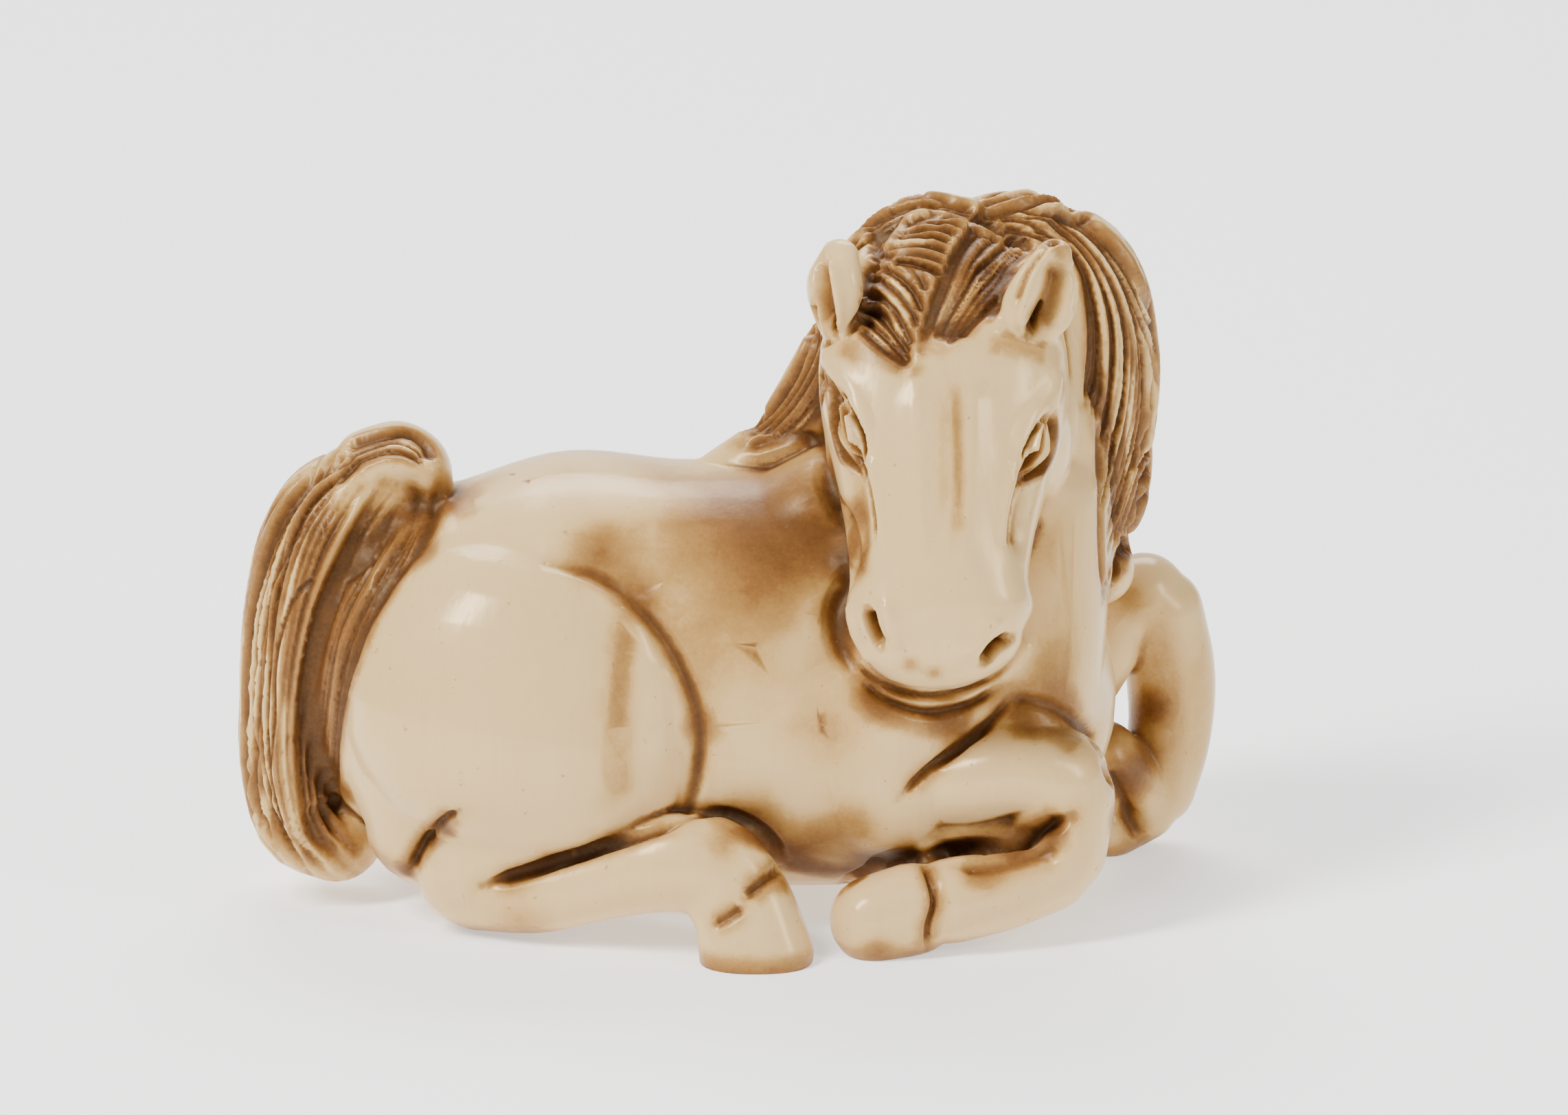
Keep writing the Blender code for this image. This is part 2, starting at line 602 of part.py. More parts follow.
def ground_slab(home):
    """The block whose top face trims every sole to the level that the carving stands on."""
    bm = bmesh.new()
    bmesh.ops.create_cube(bm, size=1.0)
    thick = FIGURE_LENGTH / 4
    bmesh.ops.scale(bm, vec=(2 * FIGURE_LENGTH, 2 * FIGURE_LENGTH, thick), verts=bm.verts)
    bmesh.ops.translate(bm, vec=(0, 0, SOLE_CUT - thick / 2), verts=bm.verts)
    return object_from(bm, "cutter ground", home)


def subtract(thing, cutter):
    cutter.hide_render = True
    cutter.display_type = "WIRE"
    bite = thing.modifiers.new("cut " + cutter.name, "BOOLEAN")
    bite.operation = "DIFFERENCE"
    bite.solver = "EXACT"
    bite.object = cutter
    applied(thing)


def seat_on_origin(thing):
    """Moves the mesh so that the middle of its footprint is the origin."""
    corners = np.array([tuple(v.co) for v in thing.data.vertices])
    low, high = corners.min(axis=0), corners.max(axis=0)
    middle = (low + high) / 2
    thing.data.transform(Matrix.Translation((-middle[0], -middle[1], -low[2])))


def ivory():
    made = bpy.data.materials.new("polished ivory")
    made.use_nodes = True
    skin = made.node_tree.nodes["Principled BSDF"]
    skin.inputs["Base Color"].default_value = IVORY
    skin.inputs["Roughness"].default_value = POLISH
    return made


def main():
    cleared_scene()
    parts = collection("horse netsuke")
    cutters = collection("cutters")
    bm = bmesh.new()
    for spec in BODY + HEAD + MANE + TAIL + LEGS + EARS:
        limb(spec, bm, RING_POINTS)
    horse = object_from(bm, "horse", parts)
    fuse = horse.modifiers.new("fuse the masses", "REMESH")
    fuse.mode = "VOXEL"
    fuse.voxel_size = VOXEL
    soften = horse.modifiers.new("soften the joins", "SMOOTH")
    soften.iterations = SOFTEN_PASSES
    applied(horse)
    carve(horse)
    facets = sum(len(p.vertices) - 2 for p in horse.data.polygons)
    thin = horse.modifiers.new("fewer facets", "DECIMATE")
    thin.ratio = TRIANGLES / facets
    applied(horse)
    subtract(horse, ground_slab(cutters))
    subtract(horse, cord_tunnel(cutters))
    seat_on_origin(horse)
    horse.data.materials.clear()
    horse.data.materials.append(ivory())
    return horse


if __name__ == "__main__":
    main()
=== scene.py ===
# %% [markdown]
# # A carved ivory horse, lying down
#
# A netsuke is a toggle that holds a pouch on a sash. This one is a horse cut from one piece of
# ivory: it lies with its legs folded under it and turns its head to look at us. The whole piece
# is polished, and brown stain is rubbed into every cut so that the carving reads from a distance.
#
# The carving is modelled as the carver works: first the big masses are roughed out and fused,
# then the creases are sunk, then the eyes and the hair are cut, and last the stain goes in, with
# painted shade under the belly, at the soles, on the flank and down the far foreleg.

# %% Load the imported model
import math
import random

import bpy
import numpy as np
from mathutils import Matrix, Vector
from mathutils.bvhtree import BVHTree
from mathutils.kdtree import KDTree


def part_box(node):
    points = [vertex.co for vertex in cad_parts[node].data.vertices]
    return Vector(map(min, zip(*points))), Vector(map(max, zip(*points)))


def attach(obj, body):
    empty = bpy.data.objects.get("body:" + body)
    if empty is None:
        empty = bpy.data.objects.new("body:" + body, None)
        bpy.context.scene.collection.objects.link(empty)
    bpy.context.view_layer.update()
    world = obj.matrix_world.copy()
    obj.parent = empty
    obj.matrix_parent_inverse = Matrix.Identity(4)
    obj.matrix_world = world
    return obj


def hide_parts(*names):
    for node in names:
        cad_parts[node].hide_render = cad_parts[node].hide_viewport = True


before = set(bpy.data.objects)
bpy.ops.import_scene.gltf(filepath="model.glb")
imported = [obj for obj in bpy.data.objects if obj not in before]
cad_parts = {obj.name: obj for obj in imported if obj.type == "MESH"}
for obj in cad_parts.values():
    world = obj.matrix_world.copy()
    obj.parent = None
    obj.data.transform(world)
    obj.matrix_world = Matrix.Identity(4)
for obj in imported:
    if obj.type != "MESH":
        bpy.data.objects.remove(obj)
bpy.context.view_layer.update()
bpy.ops.object.select_all(action="DESELECT")

# %% [markdown]
# ## Sizes
#
# The figure is written at 48.5 mm long. Its pose is in MM, a millimetre at that length, so that
# every station below reads as a size. Two steps set how fine the surface is: the grain of the
# remesh that fuses the masses, and the number of triangles that are kept at the end.

# %% Sizes
FIGURE_LENGTH = 0.0485
FIGURE_SHARES = 48.5
MM = FIGURE_LENGTH / FIGURE_SHARES
GRAIN = 0.125 * MM
KEPT_TRIANGLES = 194000
RING_POINTS = 36
RINGS_ALONG = 30
RINGS_IN_CAP = 6
SOLE_CUT = 0.0005
UP = (0, 0, 1)
BACK = (0, 1, 0)
FRONT = (0, -1, 0)
print("one MM is", MM, "m")

# %% [markdown]
# ## A mass of the body
#
# Trunk, neck, legs and ears all have the same kind of shape: a rounded form that follows a line
# and swells and narrows along it. A sphere is the natural start, because it is already closed and
# its rings of points lie one after another. Each ring is slid to its place along the line, turned
# square to it and given its own width and thickness. A squareness above 2 flattens the sides of a
# section, as on the bridge of the nose.

# %% Slide a sphere's rings along a line
def smooth_line(stations, samples):
    """Evenly spaced samples of a smooth curve through every station."""
    knots = np.array(stations, float)
    steps = np.linalg.norm(np.diff(knots[:, :3], axis=0), axis=1)
    along = np.concatenate([[0.0], np.cumsum(steps)])
    if len(knots) == 2:
        slope = np.repeat((knots[1:] - knots[:1]) / along[1], 2, axis=0)
    else:
        slope = np.gradient(knots, along, axis=0)
    want = np.linspace(0, along[-1], samples)
    i = np.clip(np.searchsorted(along, want, side="right") - 1, 0, len(along) - 2)
    span = (along[i + 1] - along[i])[:, None]
    u = ((want - along[i])[:, None]) / span
    return (
        (2 * u**3 - 3 * u**2 + 1) * knots[i]
        + (u**3 - 2 * u**2 + u) * span * slope[i]
        + (3 * u**2 - 2 * u**3) * knots[i + 1]
        + (u**3 - u**2) * span * slope[i + 1]
    )


def rounded_ends(line):
    """The line with a half dome of shrinking rings before its first station and after its last."""
    turn = np.linspace(0, math.pi / 2, RINGS_IN_CAP + 1)
    domes = []
    for end, inward in ((line[0], line[1]), (line[-1], line[-2])):
        out = end[:3] - inward[:3]
        out /= np.linalg.norm(out)
        dome = np.repeat(end[None, :], RINGS_IN_CAP, axis=0)
        dome[:, :3] += np.outer(np.sin(turn[1:]), out) * min(end[3], end[4])
        dome[:, 3:] *= np.cos(turn[1:])[:, None]
        domes.append(dome)
    return np.vstack([domes[0][::-1], line, domes[1]])


def mass(name, thick_side, squareness, stations):
    """Adds one rounded mass: stations are x, y, z, half-width and half-thickness in MM."""
    rings = rounded_ends(smooth_line(stations, RINGS_ALONG))
    tangents = np.gradient(rings[:, :3], axis=0)
    last = len(rings) - 1
    bpy.ops.mesh.primitive_uv_sphere_add(segments=RING_POINTS, ring_count=last, radius=1.0)
    made = bpy.context.object
    made.name = name
    frames = []
    for tangent in tangents:
        along = Vector(tangent).normalized()
        across = Vector(thick_side).cross(along).normalized()
        frames.append((across, along.cross(across)))
    for vert in made.data.vertices:
        ring = last - round(math.acos(max(-1.0, min(1.0, vert.co.z))) / math.pi * last)
        turn = math.atan2(vert.co.y, vert.co.x)
        pole = ring in (0, last)
        reach = [0.0 if pole else abs(f(turn)) ** (2 / squareness) for f in (math.cos, math.sin)]
        across, outward = frames[ring]
        x, y, z, wide, thick = rings[ring]
        vert.co = (
            Vector((x, y, z))
            + across * math.copysign(reach[0], math.cos(turn)) * wide
            + outward * math.copysign(reach[1], math.sin(turn)) * thick
        ) * MM
    return made

# %% [markdown]
# ## Body and neck
#
# The trunk is one long mass. Haunches, buttocks and shoulders swell out of it on both sides, and
# the neck rises steeply from the chest end.

# %% Body
BODY = [
    ("trunk", UP, 2.3, [
        (-13.6, 0.0, 12.2, 8.2, 8.9),
        (-8.8, 0.0, 12.0, 9.2, 10.6),
        (-3.0, 0.0, 11.7, 9.2, 10.5),
        (2.5, 0.0, 11.7, 9.0, 10.4),
        (8.0, 0.0, 11.0, 8.8, 9.6),
        (11.8, -0.4, 10.4, 7.2, 8.0),
    ]),
    ("near haunch", BACK, 2.1, [
        (-9.0, -4.2, 13.4, 8.8, 6.7),
        (-9.6, -4.8, 10.4, 9.3, 6.8),
    ]),
    ("far haunch", BACK, 2.1, [
        (-9.0, 4.2, 13.4, 8.8, 6.7),
        (-9.6, 4.8, 10.4, 9.3, 6.8),
    ]),
    ("near buttock", BACK, 2.0, [
        (-14.0, -3.4, 14.5, 4.8, 4.8),
        (-14.6, -4.0, 8.4, 4.4, 4.2),
        (-14.6, -4.0, 5.4, 3.2, 3.4),
    ]),
    ("far buttock", BACK, 2.0, [
        (-14.0, 3.4, 14.5, 4.8, 4.8),
        (-14.6, 4.0, 8.4, 4.4, 4.2),
        (-14.6, 4.0, 5.4, 3.2, 3.4),
    ]),
    ("near shoulder", BACK, 2.0, [
        (6.4, -3.4, 16.5, 5.4, 4.4),
        (6.8, -4.4, 11.5, 5.8, 5.1),
        (7.6, -4.6, 8.4, 5.0, 4.6),
    ]),
    ("far shoulder", BACK, 2.0, [
        (6.4, 3.4, 16.5, 5.4, 4.4),
        (6.6, 4.4, 11.5, 5.6, 5.0),
        (7.4, 4.6, 8.8, 4.6, 4.4),
    ]),
    ("neck", BACK, 2.3, [
        (9.5, 0.0, 12.0, 8.6, 7.5),
        (10.8, 0.6, 17.0, 8.0, 7.0),
        (11.6, 1.2, 21.5, 7.6, 6.6),
        (11.8, 1.6, 26.0, 7.2, 6.0),
        (11.6, 1.4, 29.5, 6.2, 5.0),
    ]),
    ("near withers", UP, 2.0, [
        (-2.0, -1.4, 18.6, 4.0, 2.6),
        (2.5, -1.5, 19.8, 3.8, 2.5),
        (6.5, -1.5, 21.8, 3.4, 2.6),
    ]),
    ("throat", BACK, 2.0, [
        (14.2, -2.6, 10.5, 3.9, 5.0),
        (14.8, -1.8, 15.5, 3.7, 4.8),
        (14.9, -1.2, 21.0, 3.6, 4.6),
    ]),
]
print("body masses:", len(BODY))

# %% [markdown]
# ## Head
#
# The head hangs down in front of the neck. Its face is a flat panel that narrows below the eyes
# and swells again at the muzzle; the cheeks are two round discs set back on either side.

# %% Head
HEAD = [
    ("skull and nose", FRONT, 2.7, [
        (10.4, -1.4, 31.0, 5.2, 3.6),
        (10.4, -3.4, 28.6, 6.0, 4.3),
        (10.4, -4.8, 26.0, 5.9, 4.5),
        (10.3, -6.4, 23.2, 5.1, 4.2),
        (10.2, -7.8, 20.8, 4.5, 3.6),
        (10.15, -8.9, 18.9, 4.3, 3.2),
        (10.2, -9.6, 17.4, 4.5, 3.0),
        (10.3, -9.9, 16.4, 3.9, 2.4),
    ]),
    ("near cheek", UP, 2.0, [
        (7.4, -1.5, 25.4, 2.9, 4.2),
        (7.0, -4.6, 24.4, 2.3, 3.6),
    ]),
    ("far cheek", UP, 2.0, [
        (13.6, -1.5, 25.4, 3.6, 4.6),
        (13.7, -4.4, 24.8, 3.0, 3.9),
    ]),
    ("lower lip", FRONT, 2.0, [
        (10.5, -7.0, 17.4, 2.6, 2.2),
        (10.6, -9.0, 15.6, 2.6, 1.7),
        (10.7, -9.6, 15.0, 2.2, 1.2),
    ]),
]
print("head masses:", len(HEAD))

# %% [markdown]
# ## Mane, forelock and tail
#
# The hair is roughed out as thick layers over the neck and the rump. It is parted on the crown.

# %% Hair masses
MANE = [
    ("mane", BACK, 2.5, [
        (11.5, 1.6, 32.6, 5.6, 2.4),
        (12.3, 2.0, 30.6, 7.6, 4.0),
        (12.8, 2.6, 27.2, 8.3, 5.2),
        (12.9, 3.0, 24.0, 8.2, 5.6),
        (13.4, 3.2, 20.5, 7.4, 5.8),
        (14.6, 3.4, 17.6, 5.4, 4.6),
        (15.8, 3.4, 16.4, 3.6, 3.4),
    ]),
    ("tip of the mane", BACK, 2.2, [
        (17.2, 2.6, 24.5, 3.4, 4.6),
        (17.5, 3.0, 20.8, 3.3, 4.6),
        (17.4, 3.2, 17.8, 2.5, 4.0),
        (18.2, 3.2, 16.2, 1.8, 2.6),
    ]),
    ("mane on the withers", BACK, 2.0, [
        (5.8, 1.4, 27.6, 2.3, 2.8),
        (4.0, 1.6, 24.6, 2.2, 2.4),
        (2.2, 1.6, 22.7, 1.8, 2.0),
        (-0.5, 1.4, 21.3, 1.3, 1.5),
    ]),
    ("forelock", FRONT, 2.2, [
        (11.6, -1.8, 33.2, 3.8, 1.7),
        (10.8, -4.2, 31.8, 4.0, 1.7),
        (10.4, -5.9, 30.2, 3.1, 1.3),
        (10.3, -6.7, 29.3, 1.3, 0.8),
    ]),
    ("crown on the outer side", FRONT, 2.0, [
        (13.2, 0.4, 33.6, 1.2, 1.3),
        (15.0, 0.6, 33.2, 1.6, 1.6),
        (17.2, 1.0, 31.2, 1.6, 1.6),
    ]),
    ("crown on the inner side", FRONT, 2.0, [
        (11.6, 0.2, 34.6, 1.1, 1.2),
        (9.4, 0.4, 34.4, 1.6, 1.6),
        (7.4, 0.6, 33.2, 1.5, 1.5),
        (5.8, 1.0, 31.2, 1.4, 1.6),
    ]),
]
TAIL = [
    ("tail", BACK, 2.4, [
        (-16.8, 0.0, 22.0, 2.4, 2.2),
        (-17.8, 0.0, 20.2, 3.7, 3.4),
        (-19.2, 0.0, 17.4, 4.1, 4.2),
        (-20.6, 0.0, 14.0, 3.4, 4.6),
        (-21.3, 0.0, 10.6, 2.8, 4.6),
        (-21.4, -0.2, 7.0, 2.6, 4.5),
        (-20.6, -0.5, 4.4, 2.5, 4.0),
        (-19.2, -0.8, 3.6, 2.2, 3.2),
    ]),
    ("lock folded over the tail", BACK, 2.0, [
        (-17.8, 0.0, 22.6, 1.4, 2.0),
        (-16.0, 0.0, 23.1, 1.3, 2.2),
        (-14.8, -0.2, 22.4, 1.2, 2.1),
        (-14.4, -0.4, 21.2, 1.0, 1.6),
    ]),
]
print("hair masses:", len(MANE) + len(TAIL))

# %% [markdown]
# ## Legs and ears
#
# Every leg is folded close to the body. The near foreleg doubles back under the chest, and the far
# one stands with its knee up. The ears are flat leaves; their cups are cut later.

# %% Legs and ears
LEGS = [
    ("near gaskin", UP, 2.0, [
        (-6.6, -5.4, 9.5, 4.4, 4.4),
        (-10.4, -6.0, 6.2, 3.8, 3.8),
        (-12.4, -6.0, 3.6, 2.9, 2.9),
    ]),
    ("near hind cannon", UP, 2.0, [
        (-12.2, -6.4, 2.9, 2.2, 2.3),
        (-9.4, -7.8, 2.9, 2.0, 2.0),
        (-6.0, -8.9, 3.9, 1.9, 1.95),
        (-2.8, -9.4, 4.9, 2.4, 2.4),
        (-0.9, -9.6, 4.9, 2.5, 2.4),
    ]),
    ("near hind hoof", BACK, 2.4, [
        (-0.5, -9.8, 4.8, 2.4, 2.1),
        (0.7, -10.4, 3.0, 2.5, 2.1),
        (1.4, -11.0, 0.6, 2.8, 2.3),
    ]),
    ("far gaskin", UP, 2.0, [
        (-6.6, 5.4, 9.5, 4.4, 4.4),
        (-10.4, 6.0, 6.2, 3.8, 3.8),
        (-12.4, 6.0, 3.6, 2.9, 2.9),
    ]),
    ("far hind cannon", UP, 2.0, [
        (-12.2, 6.4, 2.5, 2.2, 2.2),
        (-9.4, 7.6, 2.3, 1.9, 1.9),
        (-6.0, 8.2, 2.6, 1.8, 1.8),
        (-2.6, 8.0, 3.0, 2.0, 2.0),
        (-1.0, 7.6, 2.8, 1.9, 1.9),
    ]),
    ("far hind hoof", UP, 2.2, [
        (0.0, 7.4, 2.2, 1.8, 1.8),
        (2.6, 6.6, 1.7, 2.0, 2.0),
    ]),
    ("near forearm", UP, 2.0, [
        (8.4, -5.2, 7.4, 2.4, 2.3),
        (11.6, -6.5, 8.4, 2.5, 2.3),
        (14.4, -6.8, 9.0, 2.7, 2.3),
        (16.0, -6.6, 8.4, 2.7, 2.5),
    ]),
    ("near knee", UP, 2.0, [
        (16.2, -6.6, 7.4, 2.6, 2.7),
        (16.0, -7.0, 4.9, 2.4, 2.6),
    ]),
    ("fold of the near foreleg", UP, 2.0, [
        (9.0, -5.4, 4.9, 2.6, 2.2),
        (15.2, -5.4, 5.8, 2.6, 2.2),
    ]),
    ("near fore cannon", UP, 2.0, [
        (15.4, -7.3, 4.2, 2.4, 2.4),
        (13.2, -8.3, 3.4, 2.2, 2.2),
        (10.8, -9.1, 2.9, 2.1, 2.1),
    ]),
    ("near fore hoof", UP, 2.4, [
        (9.0, -9.4, 2.6, 2.1, 2.2),
        (7.0, -9.7, 2.1, 2.1, 2.1),
    ]),
    ("far forearm", UP, 2.0, [
        (15.0, 4.6, 7.4, 2.8, 2.6),
        (17.8, 6.4, 10.6, 2.3, 2.2),
        (19.6, 7.4, 13.0, 2.2, 2.1),
        (20.6, 7.7, 13.4, 2.2, 2.2),
    ]),
    ("far fore cannon", BACK, 2.0, [
        (21.3, 7.8, 12.6, 2.3, 2.2),
        (22.0, 8.0, 9.2, 2.25, 2.0),
        (21.9, 8.0, 5.8, 2.1, 2.0),
        (21.2, 7.8, 3.4, 2.1, 1.9),
    ]),
    ("fold of the far foreleg", BACK, 2.0, [
        (18.6, 5.6, 5.6, 1.9, 2.0),
        (20.2, 6.8, 3.6, 1.8, 1.8),
    ]),
    ("far fore hoof", UP, 2.2, [
        (20.6, 7.4, 2.6, 1.8, 1.8),
        (18.8, 6.6, 2.0, 1.9, 1.9),
    ]),
]
EARS = [
    ("near ear", (-0.75, -0.66, 0), 2.0, [
        (5.5, -4.3, 29.9, 0.9, 0.8),
        (5.25, -5.0, 31.0, 1.25, 1.0),
        (5.15, -5.2, 32.9, 1.65, 1.1),
        (5.4, -4.8, 34.2, 1.15, 0.7),
    ]),
    ("far ear", (0.3, -0.95, 0), 2.0, [
        (14.3, -4.5, 29.4, 1.2, 0.9),
        (14.6, -5.5, 31.0, 1.75, 1.2),
        (15.2, -5.7, 32.8, 1.6, 1.1),
        (15.75, -5.3, 34.5, 0.85, 0.6),
    ]),
]
print("leg and ear masses:", len(LEGS) + len(EARS))

# %% [markdown]
# ## Fuse the masses
#
# The masses overlap, and the real thing has no joins. A voxel remesh rebuilds all of them as one
# closed skin of even grain, which a Boolean union of so many round forms would do less cleanly.
# Smoothing then turns the sharp valleys where masses meet into soft ones.

# %% Rough out, fuse and soften
def apply_modifier(thing, kind, **settings):
    """Adds a modifier, sets it and applies it."""
    bpy.ops.object.select_all(action="DESELECT")
    thing.select_set(True)
    bpy.context.view_layer.objects.active = thing
    step = thing.modifiers.new(kind.lower(), kind)
    for key, value in settings.items():
        setattr(step, key, value)
    bpy.ops.object.modifier_apply(modifier=step.name)


def triangles(thing):
    return sum(len(p.vertices) - 2 for p in thing.data.polygons)


SOFTEN_PASSES = 18
bpy.ops.object.select_all(action="DESELECT")
masses = [mass(*spec) for spec in BODY + HEAD + MANE + TAIL + LEGS + EARS]
for piece in masses:
    piece.select_set(True)
bpy.context.view_layer.objects.active = masses[0]
bpy.ops.object.join()
horse = bpy.context.object
horse.name = "carved_horse"
horse.data.name = "carved_horse"
apply_modifier(horse, "REMESH", mode="VOXEL", voxel_size=GRAIN)
apply_modifier(horse, "SMOOTH", factor=0.5, iterations=SOFTEN_PASSES)
print("fused:", triangles(horse), "triangles")

# %% [markdown]
# ## The carver's knife
#
# A cut is a line drawn over a view of the carving and dropped on to its surface. Every point of
# the skin near the line sinks by an amount that fades with its distance from the line and towards
# the line's two ends, the way that a graver enters and leaves the ivory. Sculpt brushes do the
# same by hand, but a drawn line can be read and corrected. The near side is drawn on the view
# from the front, 16 degrees above level, in units of SHEET_SCALE to one MM. The other sides are
# drawn square on, in MM.

# %% Draw a line on the skin
VIEW_ABOVE_LEVEL = math.radians(16.0)
SHEET_SCALE = 29.75
SHEET_MIDDLE = (1141.5, 812.0)
SHEET_TARGET = Vector((2.7, 0.0, 17.6))
VIEW_DISTANCE = 500.0
POINT_GAP = 0.12
GUIDE_POINTS = 14


def sight(side, across, up):
    """Where a point drawn on one side is looked at from, and which way, in MM."""
    if side == "near":
        rise = (SHEET_MIDDLE[1] - up) / SHEET_SCALE
        level, lift = math.cos(VIEW_ABOVE_LEVEL), math.sin(VIEW_ABOVE_LEVEL)
        eye = SHEET_TARGET + Vector((0, -level, lift)) * VIEW_DISTANCE
        spot = SHEET_TARGET + Vector((0, lift, level)) * rise
        spot.x += (across - SHEET_MIDDLE[0]) / SHEET_SCALE
        return eye, (spot - eye).normalized()
    if side == "far":
        return Vector((across, FIGURE_SHARES, up)), Vector((0, -1, 0))
    if side == "above":
        return Vector((across, up, FIGURE_SHARES)), Vector((0, 0, -1))
    if side == "chest end":
        return Vector((FIGURE_SHARES, across, up)), Vector((-1, 0, 0))
    return Vector((-FIGURE_SHARES, across, up)), Vector((1, 0, 0))


def resampled(points, count):
    """The same number of evenly spaced points along a smooth line through the given ones."""
    pad = [list(p) + [0.0] * (3 - len(p)) for p in points]
    return smooth_line(pad, count)[:, : len(points[0])]


def read_points(thing, kind):
    """A mesh's point places or normals as an array."""
    flat = np.empty(len(thing.data.vertices) * 3)
    if kind == "normal":
        thing.data.vertex_normals.foreach_get("vector", flat)
    else:
        thing.data.vertices.foreach_get("co", flat)
    return flat.reshape(-1, 3)


def tree_of(points):
    tree = KDTree(len(points))
    for index, point in enumerate(points):
        tree.insert(point, index)
    tree.balance()
    return tree


# %% Finer skin at eyes and nostrils
FINE_SPOTS = [
    # across, up, radius in MM
    (1240, 630, 2.1), (1508, 650, 2.2), (1273, 915, 1.2), (1452, 946, 1.2),
]
faces = BVHTree.FromObject(horse, bpy.context.evaluated_depsgraph_get())
spots = []
for across, up, radius in FINE_SPOTS:
    eye, way = sight("near", across, up)
    spots.append((np.array(faces.ray_cast(eye * MM, way)[0]), radius * MM))
skin = read_points(horse, "place")
near_spot = np.zeros(len(skin), bool)
for spot, radius in spots:
    near_spot |= np.linalg.norm(skin - spot, axis=1) < radius
for face in horse.data.polygons:
    face.select = all(near_spot[i] for i in face.vertices)
bpy.ops.object.mode_set(mode="EDIT")
bpy.ops.mesh.select_mode(type="FACE")
bpy.ops.mesh.subdivide(number_cuts=1)
bpy.ops.object.mode_set(mode="OBJECT")
skin = read_points(horse, "place")
outward = read_points(horse, "normal")
skin_tree = tree_of(skin)
faces = BVHTree.FromObject(horse, bpy.context.evaluated_depsgraph_get())
print("skin points:", len(skin))


# %% Drop a drawn line on the skin
def laid_on(side, points):
    """A drawn line dropped on the surface as closely spaced points."""
    reach = sum(math.dist(a, b) for a, b in zip(points, points[1:]))
    if side == "near":
        reach /= SHEET_SCALE
    line = resampled(points, max(4, round(reach / POINT_GAP)))
    spots = []
    for across, up in line:
        eye, way = sight(side, across, up)
        hit = faces.ray_cast(eye * MM, way)[0]
        if hit:
            spots.append(hit)
    return spots


# %% [markdown]
# Two kinds of stroke are needed. A cut takes ivory away, and where two cuts cross, the deeper one
# counts. A ridge pushes the skin out and is added on top, as for an eyeball in its socket.

# %% Sink a cut and raise a ridge
CUT_FADE = 2.4
CUT_END_DEPTH = 0.2
CUT_END_WIDTH = 0.55
sunk = np.zeros(len(skin))
raised = np.zeros(len(skin))


def near_line(tree, line, width):
    """Each skin point within the width of a line, with its distance and its place along it."""
    found = {}
    for step, spot in enumerate(line):
        for _, index, gap in tree.find_range(spot, width):
            if gap < found.get(index, (width, 0))[0]:
                found[index] = (gap, step)
    ids = np.fromiter(found, int, len(found))
    pairs = np.array([found[i] for i in ids]).reshape(-1, 2)
    return ids, pairs[:, 0], pairs[:, 1] / max(1, len(line) - 1)


def stroke(side, width, depth, points, roundness=1.5, fading=CUT_FADE):
    """One stroke: a positive depth sinks it, a negative one raises it. Sizes are in MM."""
    line = laid_on(side, points)
    if len(line) < 3:
        return
    ids, gap, place = near_line(skin_tree, line, width * MM)
    if len(ids) == 0:
        return
    fade = np.clip(np.sin(place * math.pi) * fading, CUT_END_DEPTH, 1.0)
    taper = CUT_END_WIDTH + (1 - CUT_END_WIDTH) * fade
    share = np.clip(1 - (gap / (width * MM * taper)) ** roundness, 0, None)
    amount = abs(depth) * MM * fade * share
    if depth < 0:
        raised[ids] = np.maximum(raised[ids], amount)
    else:
        sunk[ids] = np.maximum(sunk[ids], amount)

# %% [markdown]
# ## Creases between the masses
#
# On the real carving the haunch, the legs and the tail are set off from the body by cut lines,
# not by gaps, so that nothing can snap off or catch on a sash. Each line here is a half-width and
# a depth in MM, how dark the stain in it is from 0 to 1, and the points of its course. A depth
# below nought raises a soft ridge instead, as along the crest of the haunch.

